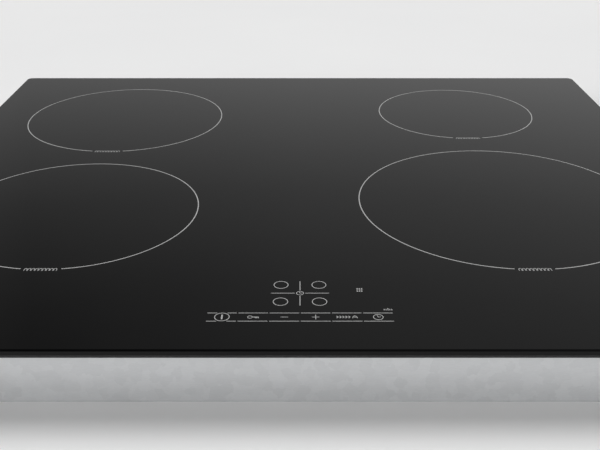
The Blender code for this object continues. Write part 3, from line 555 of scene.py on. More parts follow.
LOOKS = {
    "glass_face": glass_face(),
    "glass_facet": glass_facet(),
    "glass_side": glass_side(),
    "glass_back": glass_back(),
    "ink": print_ink(),
    "zinc": galvanised(),
    "powder": powder_coat(),
    "foam": closed_foam(),
    "spring": brushed("spring_steel", (0.55, 0.55, 0.54), 0.28, (1, 14, 1)),
    "wire_steel": brushed("spring_wire", (0.50, 0.50, 0.49), 0.30, (1, 1, 3)),
    "screw": brushed("screw_steel", (0.68, 0.67, 0.62), 0.26, (1, 1, 1)),
    "aluminium": brushed("aluminium", (0.80, 0.81, 0.82), 0.34, (10, 1, 1)),
    "tin": brushed("tinned_pins", (0.72, 0.72, 0.70), 0.30, (1, 1, 1)),
    "brass": brushed("terminal_brass", (0.72, 0.55, 0.28), 0.30, (1, 1, 6)),
    "copper": brushed("enamelled_wire", (0.60, 0.27, 0.12), 0.30, (1, 1, 1)),
    "litz": litz(),
    "former": moulded("former_plastic", (0.66, 0.65, 0.61), 0.55, 0.06),
    "ferrite": moulded("ferrite", (0.035, 0.034, 0.036), 0.6, 0.25, 0.00008),
    "mica": mica_sheet(),
    "black": moulded("black_plastic", (0.022, 0.022, 0.023), 0.48, 0.2),
    "silicone": moulded("silicone", (0.74, 0.72, 0.68), 0.65, 0.05),
    "board": solder_mask(),
    "off_white": moulded("terminal_plastic", (0.70, 0.69, 0.64), 0.45, 0.06),
    "epoxy_and_groove_shade": moulded("chip_epoxy_and_groove_shade", (0.016, 0.016, 0.017), 0.42, 0.15, 0.00001),
    "yellow_box": moulded("film_capacitor", (0.62, 0.42, 0.07), 0.38, 0.08, 0.00001),
    "grey_box": moulded("relay_case", (0.10, 0.12, 0.16), 0.35, 0.1, 0.00001),
    "sleeve": moulded("capacitor_sleeve", (0.018, 0.022, 0.05), 0.30, 0.15, 0.00001),
    "ribbon": striped_cable(),
    "brown": moulded("wire_brown", (0.16, 0.065, 0.03), 0.45, 0.1, 0.00001),
    "blue": moulded("wire_blue", (0.03, 0.09, 0.38), 0.45, 0.1, 0.00001),
    "earth": moulded("wire_green", (0.10, 0.30, 0.05), 0.45, 0.2, 0.00001),
    "label": foil_label(),
    "display": lit_digit(),
}


def soften(piece, width):
    """Rounds a piece's sharp edges."""
    bevel = piece.modifiers.new("Edges", "BEVEL")
    bevel.width = width
    bevel.segments = 2
    bevel.limit_method = "ANGLE"
    bevel.angle_limit = radians(40)
    bevel.harden_normals = True


def dress(look, *names, round_by=None):
    """Gives CAD nodes a material and, if asked, softens their edges."""
    for name in names:
        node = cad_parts[name]
        node.data.materials.clear()
        node.data.materials.append(LOOKS[look])
        if round_by:
            soften(node, round_by)

# Stage.


def make_stage():
    camera = bpy.data.cameras.new("camera")
    camera.lens = CAMERA_LENS
    eye = bpy.data.objects.new("camera", camera)
    eye.location = (0, FRONT - CAMERA_AHEAD, GLASS_HIGH.z + CAMERA_ABOVE)
    eye.rotation_euler.x = radians(90 - CAMERA_PITCH)
    bpy.context.scene.collection.objects.link(eye)
    bpy.context.scene.camera = eye
    bpy.context.scene.view_settings.view_transform = "Standard"
    make_floor()
    make_softbox("key_softbox", (-0.74, -0.58, 0.34), 2.4, 28)
    make_softbox("top_softbox", (0.36, 0.16, 0.92), 2.2, 38)
    make_world()


def make_floor():
    look = Look("floor", (0.80, 0.80, 0.80), 0.7)
    look.shades(look.noise(0.4, 4.0), (0.80, 0.80, 0.802), (0.815, 0.815, 0.815))
    LOOKS["floor"] = look.material
    shape = Shape()
    bmesh.ops.create_grid(shape.bm, x_segments=1, y_segments=1, size=12)
    shape.done("floor", "floor", body=None, at=(0, 0, cad_low.z - 0.0002))


def make_softbox(name, towards, energy, width):
    """A far, soft light that covers `width` degrees of the view, and that the glass doesn't mirror."""
    light = bpy.data.lights.new(name, "SUN")
    light.energy = energy
    light.angle = radians(width)
    made = bpy.data.objects.new(name, light)
    made.rotation_euler = Vector(towards).to_track_quat("Z", "Y").to_euler()
    made.visible_glossy = False
    bpy.context.scene.collection.objects.link(made)


def make_world():
    """A studio whose walls are brightest low down and to the right, and dim overhead."""
    world = bpy.data.worlds.new("studio")
    world.use_nodes = True
    bpy.context.scene.world = world
    nodes, links = world.node_tree.nodes, world.node_tree.links
    way = nodes.new("ShaderNodeSeparateXYZ")
    links.new(nodes.new("ShaderNodeTexCoord").outputs["Generated"], way.inputs[0])

    def curve(axis, points):
        spread = nodes.new("ShaderNodeMapRange")
        spread.inputs["From Min"].default_value = -1
        links.new(way.outputs[axis], spread.inputs["Value"])
        ramp = nodes.new("ShaderNodeValToRGB")
        links.new(spread.outputs["Result"], ramp.inputs["Fac"])
        elements = ramp.color_ramp.elements
        while len(elements) < len(points):
            elements.new(0.5)
        for element, (position, value) in zip(elements, points):
            element.position = (position + 1) / 2
            element.color = (value, value, value, 1)
        return ramp.outputs["Color"]

    offset = -min(value for _, value in SIDE_GLOW)
    both = nodes.new("ShaderNodeMath")
    links.new(curve("Z", SKY), both.inputs[0])
    links.new(curve("X", [(place, value + offset) for place, value in SIDE_GLOW]), both.inputs[1])
    level = nodes.new("ShaderNodeMath")
    level.operation = "SUBTRACT"
    level.inputs[1].default_value = offset
    level.use_clamp = True
    links.new(both.outputs[0], level.inputs[0])
    links.new(level.outputs[0], nodes["Background"].inputs["Color"])

# Glass and print.


def make_glass():
    """The plate, with a polished facet round its top and a fine arris round its underside."""
    width, depth = GLASS_HIGH.x - GLASS_LOW.x, GLASS_HIGH.y - GLASS_LOW.y
    bottom = GLASS_LOW.z
    section = [(GLASS_ARRIS, bottom), (0, bottom + GLASS_ARRIS)]
    section += [(0, GLASS_FACE - GLASS_FACET), (GLASS_FACET, GLASS_FACE)]
    shape = Shape()
    loops = []
    for inset, z in section:
        outline = rounded_rectangle(width - 2 * inset, depth - 2 * inset, GLASS_CORNER - inset, steps=16)
        loops.append(shape.loop(outline, z))
    glass = shape.stack(loops).done("glass", "glass_face", slot="glass_ceramic", stands_for="glass_plate")
    for look in ("glass_facet", "glass_side", "glass_back"):
        glass.data.materials.append(LOOKS[look])
    for polygon in glass.data.polygons:
        steep = polygon.normal.z
        polygon.material_index = 3 if steep < -0.3 else 2 if steep < 0.3 else 1 if steep < 0.9 else 0
    bevel = glass.modifiers.new("Arris", "BEVEL")
    bevel.width = 0.00006
    bevel.segments = 2
    bevel.harden_normals = True


def printed(name, lines=(), shapes=()):
    """One printed piece, from lines (points, width) or (points, width, closed) and filled outlines."""
    shape = Shape()
    low, high = GLASS_FACE - PRINT_SUNK, GLASS_HIGH.z
    for points, width, *closed in lines:
        shape.line(points, width, low, high, bool(closed))
    for outline in shapes:
        shape.prism(outline, low, high)
    return shape.done(name, "ink", slot="glass_ceramic")


def on_glass(across, back):
    """A point on the glass, from its middle line and back from its front edge."""
    return Vector((across, FRONT + back))


def moved(spot, points, size=1.0):
    """Points about (0, 0), moved to a spot."""
    return [spot + Vector(point) * size for point in points]


def make_zone_print():
    """A ring for each zone, open at the front for a coil sign."""
    for zone in ZONES:
        low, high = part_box("coil_former_" + zone)
        centre, radius = (low + high) / 2, (high.x - low.x) / 2 + RING_OUTSIDE
        half = (RING_GAP / 2) / radius * 180 / pi
        ring = arc(centre, radius, half - 90, 270 - half, 240)
        printed(f"zone_ring_{zone}", [(ring, RING_LINE)])
        make_coil_sign(zone, Vector((centre.x, centre.y - radius)))


def make_coil_sign(zone, spot):
    """The sign for a coil on a circuit diagram: a row of humps."""
    humps = 9
    width, height = COIL_MARK
    pitch = width / humps
    lines = []
    for i in range(humps):
        foot = spot + Vector((pitch * (i - (humps - 1) / 2), -height / 2))
        half, straight = pitch / 2 - ICON_LINE * 0.75, height * 0.55
        hump = [Vector((-half, 0)), Vector((-half, straight))]
        hump += [Vector((half * cos(a), straight + (height - straight) * sin(a))) for a in
                 (pi * (1 - j / 8) for j in range(1, 8))]
        hump += [Vector((half, straight)), Vector((half, 0))]
        lines.append((moved(foot, hump), ICON_LINE))
    printed(f"zone_sign_{zone}", lines)


def make_key_print():
    """Short lines over and under each key. The first pair opens round its ring."""
    start = -KEY_PITCH * (KEY_COUNT - 1) / 2 - KEY_LENGTH / 2
    ring, room = power_spot().x, 0.0029
    lines = []
    for back in KEY_ROW:
        for key in range(KEY_COUNT):
            low = start + key * KEY_PITCH
            high = low + KEY_LENGTH
            spans = [(low, high)] if key else [(low, ring - room), (ring + room, high)]
            lines += [([on_glass(a, back), on_glass(b, back)], KEY_LINE) for a, b in spans]
    printed("key_lines", lines)


def key_spot(key):
    middle = (KEY_ROW[0] + KEY_ROW[1]) / 2
    return on_glass((key - (KEY_COUNT - 1) / 2) * KEY_PITCH, middle)


def power_spot():
    return key_spot(0) + Vector((0.0002, 0.0001))


def make_cross_print():
    """The zone selector: a cross between four displays, with a small clock at its middle."""
    across, along = CROSS_REACH
    lines = []
    for way in (-1, 1):
        level = [on_glass(way * reach, CROSS_BACK) for reach in (CROSS_GAP, across)]
        upright = [on_glass(0, CROSS_BACK + way * reach) for reach in (CROSS_GAP, along)]
        lines += [(level, CROSS_LINE), (upright, CROSS_LINE)]
    printed("zone_cross", lines)
    make_clock("cross_clock", on_glass(0, CROSS_BACK), 0.0021)
    for i, (side, back) in enumerate((side, back) for side in (-1, 1) for back in DISPLAY_BACK):
        ring = circle(on_glass(side * DISPLAY_ACROSS, back), DISPLAY_RADIUS)
        printed(f"display_ring_{i + 1}", [(ring, DISPLAY_LINE, True)])


def make_clock(name, spot, radius):
    hands = moved(spot, [(-0.22, 0.66), (0.05, -0.05), (0.52, 0.12)], radius)
    printed(name, [(circle(spot, radius), ICON_LINE, True), (hands, ICON_LINE)])


def make_key_icons():
    spot = power_spot()
    bar = moved(spot, [(0, -0.0025), (0, 0.0025)])
    printed("power_icon", [(circle(spot, POWER_RADIUS), DISPLAY_LINE, True), (bar, 0.0009)])
    spot = key_spot(1) + Vector((0.0002, 0))
    lines = [(circle(spot + Vector((-0.0019, 0)), 0.0013, 24), ICON_LINE, True)]
    lines.append((moved(spot, [(-0.0005, 0), (0.0031, 0)]), 0.0006))
    lines += [(moved(spot, [(x, -0.0003), (x, -0.0012)]), 0.0005) for x in (0.0012, 0.0021, 0.0030)]
    printed("lock_icon", lines)
    printed("minus_icon", [(moved(key_spot(2), [(-0.0022, 0), (0.0022, 0)]), ICON_LINE)])
    half, wide, tall = ICON_LINE / 2, 0.0021, 0.0025
    plus = [(-wide, -half), (-half, -half), (-half, -tall), (half, -tall), (half, -half), (wide, -half)]
    plus += [(-x, -y) for x, y in plus]
    printed("plus_icon", shapes=[moved(key_spot(3), plus)])
    make_boost_icon(key_spot(4))
    make_clock("timer_icon", key_spot(5) + Vector((-0.0001, 0)), 0.0028)


def make_boost_icon(spot):
    """Chevrons beside a small lidded pan."""
    lines = []
    for i in range(5):
        x = -0.0060 + 0.0017 * i
        lines.append((moved(spot, [(x, -0.0011), (x + 0.0009, 0), (x, 0.0011)]), 0.0005))
    printed("boost_icon", lines)
    place = spot + Vector((0.0045, 0))
    lid = [(-0.0014, -0.0012), (-0.0011, 0.0001), (-0.0006, 0.0010), (0, 0.0013)]
    lid += [(-x, y) for x, y in reversed(lid[:-1])]
    bar = [(-0.0007, -0.0002), (0.0007, -0.0002)]
    printed("pan_icon", [(moved(place, line), ICON_LINE) for line in (lid, bar)])


def make_small_signs():
    """Minute ticks over the timer key, and a grid of dots beside the displays."""
    ticks = []
    for i in range(5):
        foot = key_spot(5) + Vector((0.0062 + 0.0011 * (i - 2), 0.0074))
        ticks.append(([foot, foot + Vector((0, 0.0023 if i == 2 else 0.0014))], 0.0005))
    printed("minute_ticks", ticks)
    centre = on_glass(0.0361, 0.0643)
    spots = [centre + Vector((dx * 0.00135, dy * 0.0016)) for dx in (-1, 0, 1) for dy in (-1, 0, 1)]
    printed("dot_grid", shapes=[circle(spot, 0.00048, 12) for spot in spots])

# Case.


def make_case():
    """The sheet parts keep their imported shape, with softened edges; small parts are added to them."""
    dress("foam", "worktop_seal", round_by=0.0006)
    dress("powder", "support_frame", round_by=0.00015)
    dress("zinc", "base_tray")
    dress("black", "terminal_box", "control_carrier", round_by=0.0002)
    dress("black", "board_carrier_left", "board_carrier_right", round_by=0.0002)
    make_screws()
    make_leaf_springs()
    make_spot_welds()
    make_label()
    make_terminal_lid()
    make_terminal_block()
    make_gland()


def make_screws():
    """Pan-head screws with a six-lobed drive."""
    outward = {"front": (0, -1, 0), "rear": (0, 1, 0), "left": (-1, 0, 0), "right": (1, 0, 0)}
    for name in ("front_left", "front_right", "rear_left", "rear_right", "left", "right"):
        node = "case_screw_" + name
        low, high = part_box(node)
        way = Vector(outward[name.split("_")[0]])
        centre = (low + high) / 2
        reach = abs((high - low).dot(way)) / 2
        radius = (high.z - low.z) / 2
        place = facing(way, centre + way * reach)
        shape = Shape()
        loops = [shape.loop(circle((0, 0), 0.0006), -2 * reach, place)]
        rows = int((2 * reach - 0.0026) / 0.0004)
        for i in range(rows):
            thread = 0.00175 if i % 2 else 0.0014
            loops.append(shape.loop(circle((0, 0), thread), -2 * reach + 0.0006 + 0.0004 * i, place))
        head = ((0.00175, -0.0016), (radius, -0.0016), (radius, -0.0010), (radius * 0.92, -0.0004),
                (radius * 0.72, -0.0001), (radius * 0.56, 0.0))
        loops += [shape.loop(circle((0, 0), r), z, place) for r, z in head]
        loops += [shape.loop(lobed(0.00135, 0.00022, 6), z, place) for z in (0.0, -0.0011)]
        loops.append(shape.loop(circle((0, 0), 0.0004), -0.0013, place))
        shape.stack(loops).done(node + "_look", "screw", slot="screw_steel", stands_for=node, smooth=35)


def make_leaf_springs():
    """Leaves with rounded bends, each narrower and rounded at its free end."""
    for side in SIDES:
        way = -1 if side == "left" else 1
        for end in ("front", "rear"):
            node = f"retaining_spring_{side}_{end}"
            low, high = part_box(node)
            inner = low.x if way > 0 else high.x
            hook = inner + way * LEAF_THICK / 2
            line = eased([(hook + way * out, high.z - down) for out, down in LEAF_BENDS], 0.0016)
            middle, half = (low.y + high.y) / 2, (high.y - low.y) / 2
            tail = line[-1]
            widths = []
            for point in line:
                near = min(1.0, (point - tail).length / 0.004)
                widths.append(0.62 + 0.38 * (1 - (1 - near) ** 2) ** 0.5)
            thick = LEAF_THICK / 2
            section = [(-half, -thick), (half, -thick), (half, thick), (-half, thick)]
            shape = Shape().sweep([(x, middle, z) for x, z in line], section, side=(0, 1, 0), widths=widths)
            shape.done(node + "_look", "spring", node, "spring_steel", node, smooth=40)


def make_spot_welds():
    """Welds where the frame's skirt laps the tray, clear of the terminal box."""
    low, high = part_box("support_frame")
    z = low.z + (high.z - low.z) * 0.62
    spots = []
    for side in (-1, 1):
        spots += [((x, side * high.y, z), (0, side, 0)) for x in (-0.235, -0.120, 0.120, 0.235)]
        spots += [((side * high.x, y, z), (side, 0, 0)) for y in (-0.205, -0.075, 0.075, 0.205)]
    shape = Shape()
    for spot, way in spots:
        shape.turned(((0, 0.0003), (0.0014, 0.00028), (0.0019, -0.0001), (0, -0.0001)), facing(way, spot), 20)
    shape.done("frame_spot_welds", "powder", slot="frame_steel")


def make_label():
    """A foil label, in the hollow of the floor's middle panel."""
    thick = 0.00008
    shape = Shape().prism(rounded_rectangle(0.072, 0.030, 0.002), 0.0, thick)
    shape.done("foil_label", "label", slot="zinc_steel", at=(0, -0.060, cad_low.z + TRAY_EMBOSS - thick))


def make_terminal_lid():
    """The snap lid: a plate with ribs, a finger tab, its barrel and two stub pins."""
    low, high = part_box("terminal_lid")
    pin, barrel, thick, lug = 0.0008, 0.0015, 0.0018, 0.0019
    left, right, middle = low.x + lug, high.x - lug, (low.x + high.x) / 2
    hinge = (high.y - barrel, low.z + barrel)
    back = low.y + thick
    shape = Shape().block((left, low.y, hinge[1]), (right, back, high.z), 0.0004)
    for share in (0.2, 0.35, 0.5, 0.65, 0.8):
        x = left + (right - left) * share
        rib = (x - 0.0006, back - 0.0002, hinge[1] + 0.0035), (x + 0.0006, back + 0.0006, high.z - 0.0045)
        shape.block(*rib, 0.0002)
    tab = (middle - 0.007, back - 0.0003, high.z - 0.0024), (middle + 0.007, high.y, high.z - 0.0006)
    shape.block(*tab, 0.0003)
    shape.turned(drum(barrel, 0, right - left), facing((1, 0, 0), (left, *hinge)), 24)
    long = high.x - low.x
    pins = ((0, 0), (pin * 0.8, 0), (pin, 0.0003), (pin, long - 0.0003), (pin * 0.8, long), (0, long))
    shape.turned(pins, facing((1, 0, 0), (low.x, *hinge)), 16)
    shape.done("terminal_lid_look", "black", "terminal_lid", "black_plastic", "terminal_lid")


def make_terminal_block():
    """Five moulded chambers, each with a brass clamp and a slotted screw."""
    low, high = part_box("terminal_block")
    pitch, wide, count = 0.0095, 0.0078, 5
    middle, top = (low.y + high.y) / 2, high.z
    body, brass, screws = Shape(), Shape(), Shape()
    body.block(low, (high.x, high.y, top - 0.0065), 0.0004)
    for i in range(count):
        x = low.x + 0.0010 + pitch * i
        body.block((x, low.y + 0.0025, top - 0.0075), (x + wide, high.y - 0.0025, top - 0.0015), 0.0005)
        clamp = (x + 0.0012, low.y + 0.0010, top - 0.0060), (x + wide - 0.0012, high.y - 0.0010, top - 0.0037)
        brass.block(*clamp, 0.0002)
        place = Matrix.Translation((x + wide / 2, middle, top))
        head = ((0, -0.0020), (0.0023, -0.0020), (0.0023, -0.0004), (0.0020, 0), (0, 0))
        screws.turned(head, place, 24)
        slot = Vector((0.0002, 0.0019, 0.0001))
        centre = place.translation - Vector((0, 0, 0.0001))
        screws.block(centre - slot, centre + slot)
    body.done("terminal_block_look", "off_white", slot="terminal_plastic", stands_for="terminal_block")
    brass.done("terminal_clamps", "brass", slot="screw_steel")
    screws.done("terminal_screws", "screw", slot="screw_steel")


def make_gland():
    """The strain relief: a ribbed dome nut, its flange, and a rubber ring round the cable's way in."""
    low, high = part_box("cable_gland")
    centre = (low + high) / 2
    place = facing((0, 1, 0), (centre.x, low.y, centre.z))
    length, outer, bore = high.y - low.y, (high.x - low.x) / 2, 0.0052
    barrel, grip, nose = outer * 0.78, outer * 0.94, outer * 0.80
    flange = length - 0.0062
    rings = [(bore, 0, 0), (barrel, 0, 0), (barrel, flange, 0)]
    rings += [(outer, flange, 0), (outer, flange + 0.0014, 0)]
    rings += [(grip, flange + 0.0016, outer * 0.03), (grip, flange + 0.0040, outer * 0.03)]
    rings += [(nose, length - 0.0004, 0), (bore + 0.0010, length, 0), (bore, length - 0.0008, 0)]
    shape = Shape()
    loops = [shape.loop(lobed(radius, ribs, 16, 96), z, place) for radius, z, ribs in rings]
    shape.stack(loops, closed=True)
    shape.done("cable_gland_look", "black", slot="black_plastic", stands_for="cable_gland")
    lips = ((bore, 0.45), (0.0046, 0.50), (0.0046, 0.90), (bore, 0.94))
    rubber = Shape().turned([(radius, length * share) for radius, share in lips], place)
    rubber.done("gland_rubber", "foam", slot="black_plastic")

# Coils.


def make_coil_units():
    for side in SIDES:
        body = "coil_unit_" + side
        dress("aluminium", "coil_plate_" + side, round_by=0.0002)
        for zone in (zone for zone in ZONES if zone.endswith(side)):
            make_former(zone, body)
            make_insulation(zone, body)
            make_winding(zone, body)
            make_ferrites(zone, body)
            make_sensor(zone, body)
        for number in (1, 2, 3):
            make_plate_spring(f"plate_spring_{side}_{number}")


def make_former(zone, body):
    """A dished disc with a hub, which stands on its rim. The ferrite bars lie under the disc."""
    node = "coil_former_" + zone
    low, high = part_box(node)
    rim, height, wall, edge = (high.x - low.x) / 2, high.z - low.z, 0.0018, 0.0003
    under, over = 0.0061, 0.0079
    profile = [(HUB_OUTER, height), (HUB_OUTER, over), (rim - wall, over), (rim - wall, height - edge)]
    profile += [(rim - wall + edge, height), (rim - edge, height), (rim, height - edge), (rim, edge)]
    profile += [(rim - edge, 0), (rim - wall, 0), (rim - wall, under), (HUB_OUTER, under), (HUB_OUTER, 0)]
    profile += [(HUB_INNER, 0), (HUB_INNER, height)]
    place = upright(low, high, low.z)
    Shape().turned(profile, place, 128).done(node + "_look", "former", body, "former_plastic", node)


def make_insulation(zone, body):
    node = "insulation_sheet_" + zone
    low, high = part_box(node)
    rim, thick = (high.x - low.x) / 2, high.z - low.z
    place = upright(low, high, low.z)
    shape = Shape().turned(drum(rim, 0, thick, HUB_INNER), place, 128)
    shape.done(node + "_look", "mica", body, "mica", node)


def make_winding(zone, body):
    """One flat bundle of litz wire, wound from the hub outwards."""
    node = "coil_winding_" + zone
    low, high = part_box(node)
    centre, height = (low + high) / 2, high.z - low.z
    inner, outer = WINDING_INNER + LITZ_PITCH / 2, (high.x - low.x) / 2 - LITZ_PITCH / 2
    turns, per_turn = (outer - inner) / LITZ_PITCH, 64
    points = []
    for i in range(int(turns * per_turn) + 1):
        angle = 2 * pi * i / per_turn
        radius = inner + LITZ_PITCH * i / per_turn
        points.append((radius * cos(angle), radius * sin(angle), 0))
    shape = Shape().sweep(points, oval(LITZ_PITCH * 0.98, height, 8))
    shape.done(node + "_look", "litz", body, "copper_litz", node, smooth=60, at=centre)


def make_ferrites(zone, body):
    """Bars under the former's disc, set like spokes."""
    low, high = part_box("coil_former_" + zone)
    centre, reach = (low + high) / 2, (high.x - low.x) / 2
    count = 8 if reach > 0.075 else 6
    shape = Shape()
    for i in range(count):
        bar = Shape()
        bar.block((0.016, -0.0055, low.z + 0.0026), (reach - 0.008, 0.0055, low.z + 0.0060), 0.0006)
        turn = Matrix.Rotation(2 * pi * (i + 0.5) / count, 4, "Z")
        bar.bm.transform(Matrix.Translation((centre.x, centre.y, 0)) @ turn)
        mesh = bpy.data.meshes.new("bar")
        bar.bm.to_mesh(mesh)
        bar.bm.free()
        shape.bm.from_mesh(mesh)
        bpy.data.meshes.remove(mesh)
    shape.done("ferrite_bars_" + zone, "ferrite", body, "former_plastic")


def make_sensor(zone, body):
    """A silicone plug that presses its metal cap up against the glass."""
    node = "temperature_sensor_" + zone
    low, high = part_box(node)
    place = upright(low, high, low.z)
    height, wide = high.z - low.z, (high.x - low.x) / 2
    profile = [(0, 0), (0.0036, 0), (0.0040, 0.0004), (wide - 0.0006, 0.0010), (wide, 0.0016), (wide, 0.0046)]
    profile += [(wide - 0.0005, 0.0051), (0.0055, 0.0060), (0.0055, 0.0076), (0.0050, 0.0080)]
    profile += [(0.0050, 0.0086), (0.0055, 0.0090), (0.0055, height - 0.0016), (0.0048, height - 0.0006)]
    profile += [(0, height - 0.0006)]
    Shape().turned(profile, place, 40).done(node + "_look", "silicone", body, "silicone", node)
    cap = [(0, height - 0.0010), (0.0041, height - 0.0010), (0.0041, height - 0.0002), (0.0037, height)]
    cap.append((0, height))
    Shape().turned(cap, place, 32).done("sensor_cap_" + zone, "tin", body, "silicone")


def make_plate_spring(node):
    """A compression spring between the tray's floor and the coil plate."""
    low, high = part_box(node)
    wire = 0.0006
    radius, turns, per_turn = (high.x - low.x) / 2 - wire, 5, 20
    bottom, top = low.z + wire, high.z - wire
    middle = (low + high) / 2
    points = []
    for i in range(turns * per_turn + 1):
        share = i / (turns * per_turn)
        angle = 2 * pi * turns * share
        lift = bottom + (top - bottom) * (share - 0.8 * sin(2 * pi * share) / (2 * pi))
        points.append((middle.x + radius * cos(angle), middle.y + radius * sin(angle), lift))
    spring = Shape().sweep(points, oval(2 * wire, 2 * wire, 8)).done(
        node + "_look", "wire_steel", None, "spring_steel", node, smooth=60
    )
    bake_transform(spring)

# Boards, fans and wiring.


class Board:
    """A circuit board's parts, gathered by material until `done` makes one piece of each.

    Places are measured from the board's middle, and heights from its upper face.
    """

    def __init__(self, node, feet=0.0):
        self.node = node
        low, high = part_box(node)
        top = low.z + feet + BOARD_THICK
        self.middle = Vector(((low.x + high.x) / 2, (low.y + high.y) / 2, top))
        self.half = (high - low) / 2
        self.tall = high.z - top
        self.shapes = {}
        self.block("board", 0, 0, high.x - low.x, high.y - low.y, -BOARD_THICK, 0, 0.0002)
        self.at_corners("screw", 0.005, SCREW_HEAD)

    def shape(self, look):
        return self.shapes.setdefault(look, Shape())

    def spot(self, x, y, z=0.0):
        return self.middle + Vector((x, y, z))

    def block(self, look, x, y, wide, long, low, high, round_by=0.0):
        half = Vector((wide / 2, long / 2, 0))
        self.shape(look).block(self.spot(x, y, low) - half, self.spot(x, y, high) + half, round_by)

    def turned(self, look, x, y, profile, steps=24):
        self.shape(look).turned(profile, Matrix.Translation(self.spot(x, y)), steps)

    def at_corners(self, look, inset, profile):
        """The same round piece near each corner."""
        for x in (-1, 1):
            for y in (-1, 1):
                self.turned(look, x * (self.half.x - inset), y * (self.half.y - inset), profile)

    def case(self, look, x, y, wide, long, tall, round_by=0.0006):
        """A moulded part."""
        self.block(look, x, y, wide, long, 0, tall, round_by)

    def can(self, x, y, radius, tall):
        """An electrolytic capacitor: a sleeve rolled over a bare, scored top. The score lines are raised
        black strips: painted shade for the grooves.
        """
        groove, rim = tall * 0.12, radius * 0.86
        sleeve = [(0, 0), (radius * 0.96, 0), (radius, 0.0004), (radius, groove)]
        sleeve += [(radius * 0.95, groove + 0.0005), (radius, groove + 0.0010), (radius, tall - 0.0006)]
        sleeve += [(rim, tall), (rim, tall - 0.0003), (0, tall - 0.0003)]
        self.turned("sleeve", x, y, sleeve, 36)
        self.turned("tin", x, y, drum(radius * 0.84, tall - 0.0006, tall - 0.0001), 36)
        # Black strips in the chips' epoxy look stand where the scored grooves are: painted shade, not a
        # material of the can.
        for wide, long in ((radius * 1.1, 0.0004), (0.0004, radius * 1.1)):
            self.block("epoxy_and_groove_shade", x, y, wide, long, tall - 0.0002, tall - 0.00005)

    def chip(self, x, y, wide, long, pins):
        """An integrated circuit with a row of gull-wing legs on each side."""
        self.block("epoxy_and_groove_shade", x, y, wide, long, 0.0003, 0.0020, 0.0002)
        for i in range(pins):
            leg = y + long * ((i + 0.5) / pins - 0.5)
            for way in (-1, 1):
                self.block("tin", x + way * (wide / 2 + 0.0004), leg, 0.0012, 0.0004, 0, 0.0006)

    def connector(self, x, y, pins, along="y"):
        """A white header with a post for each wire."""
        pitch, deep = 0.0025, 0.0058
        long = pitch * pins + 0.0020
        self.case("off_white", x, y, *((deep, long) if along == "y" else (long, deep)), 0.0068, 0.0003)
        for i in range(pins):
            step = pitch * (i - (pins - 1) / 2)
            post = (x, y + step) if along == "y" else (x + step, y)
            self.block("tin", *post, 0.0008, 0.0008, 0.0066, 0.0085)

    def resistor(self, x, y, along="x"):
        """A small film resistor lying on its bent legs."""
        way, side = Vector((1, 0, 0)), Vector((0, 1, 0))
        if along == "y":
            way, side = side, way
        lift, half = 0.0016, 0.0033
        body = [(0, 0), (0.0010, 0), (0.0013, 0.0005), (0.0011, 0.0014)]
        body += [(radius, 2 * half - z) for radius, z in reversed(body)]
        self.shape("off_white").turned(body, facing(way, self.spot(x, y, lift) - way * half), 16)
        for end in (-1, 1):
            foot = self.spot(x, y) + way * end * (half + 0.0015)
            knee = foot + Vector((0, 0, lift))
            legs = [foot, knee, knee - way * end * 0.0020]
            self.shape("tin").sweep(legs, oval(0.0006, 0.0006, 6), side=side)

    def choke(self, x, y, radius, tall, turns):
        """A ring core with two copper windings."""
        core, wire = radius * 0.42, 0.0011
        middle, centre = radius - core / 2 - wire, self.spot(x, y, tall / 2)
        ring = [centre + point.to_3d() for point in circle((0, 0), middle, 40)]
        self.shape("ferrite").sweep(ring, oval(core, tall - 3 * wire, 12), closed=True)
        half_wide, half_tall, per_turn = (core + wire) / 2, (tall - wire) / 2, 12
        for start in (20, 200):
            points = []
            for i in range(turns * per_turn + 1):
                share = i / (turns * per_turn)
                around, over = radians(start + 140 * share), 2 * pi * turns * share
                out = middle + half_wide * cos(over)
                points.append(centre + Vector((out * cos(around), out * sin(around), half_tall * sin(over))))
            self.shape("copper").sweep(points, oval(wire, wire, 6), up=(0.02, 0.03, 1))

    def done(self):
        for look, shape in self.shapes.items():
            stands_for = self.node if look == "board" else ()
            shape.done(f"{self.node}_{look}", look, "hob", "circuit_board", stands_for)


def make_power_unit(side):
    """Film capacitors along one side, the supply's parts along the other, and a heatsink between them."""
    board = Board("power_board_" + side)
    out = -0.050 if side == "left" else 0.050
    back = -out
    for i, (long, tall) in enumerate(((0.030, 0.016), (0.030, 0.016), (0.022, 0.014))):
        board.case("yellow_box", out, -0.070 + 0.050 * i, 0.020, long, tall, 0.0010)
    for y in (-0.060, 0.050):
        board.can(back, y, 0.011, 0.017)
    for i in range(3):
        board.can(back + 0.006 * (i - 1), -0.040 + 0.001 * i, 0.0026, 0.009)
    board.case("grey_box", back, -0.024, 0.016, 0.012, 0.0120)
    board.choke(back, 0.008, 0.0125, 0.0120, 9)
    board.connector(out, 0.056, 6)
    board.connector(out, 0.080, 4)
    board.chip(back, 0.075, 0.0060, 0.0130, 8)
    board.chip(out, -0.045, 0.0040, 0.0050, 4)
    board.resistor(out, 0.002, "y")
    for i in range(6):
        board.resistor(back - 0.006 + 0.012 * (i % 2), 0.086 + 0.0045 * (i // 2))
    for i in range(4):
        board.resistor(back, -0.078 - 0.0045 * i)
    board.done()
    dress("aluminium", "heatsink_" + side, round_by=0.0002)


def volute(centre, big, outlet, inset=0.0):
    """The fan casing's outline: a spiral round the shaft, which opens into a straight outlet along -Y."""
    points = []
    for i in range(VOLUTE_STEPS + 1):
        angle = radians(-FAN_CUTOFF - (360 - FAN_CUTOFF) * i / VOLUTE_STEPS)
        radius = FAN_SMALL_RADIUS + (big - FAN_SMALL_RADIUS) * i / VOLUTE_STEPS - inset
        points.append(centre + Vector((cos(angle), sin(angle))) * radius)
    tongue = centre.x + FAN_SMALL_RADIUS * cos(radians(FAN_CUTOFF)) + inset
    return points + [Vector((centre.x + big - inset, outlet)), Vector((tongue, outlet))]


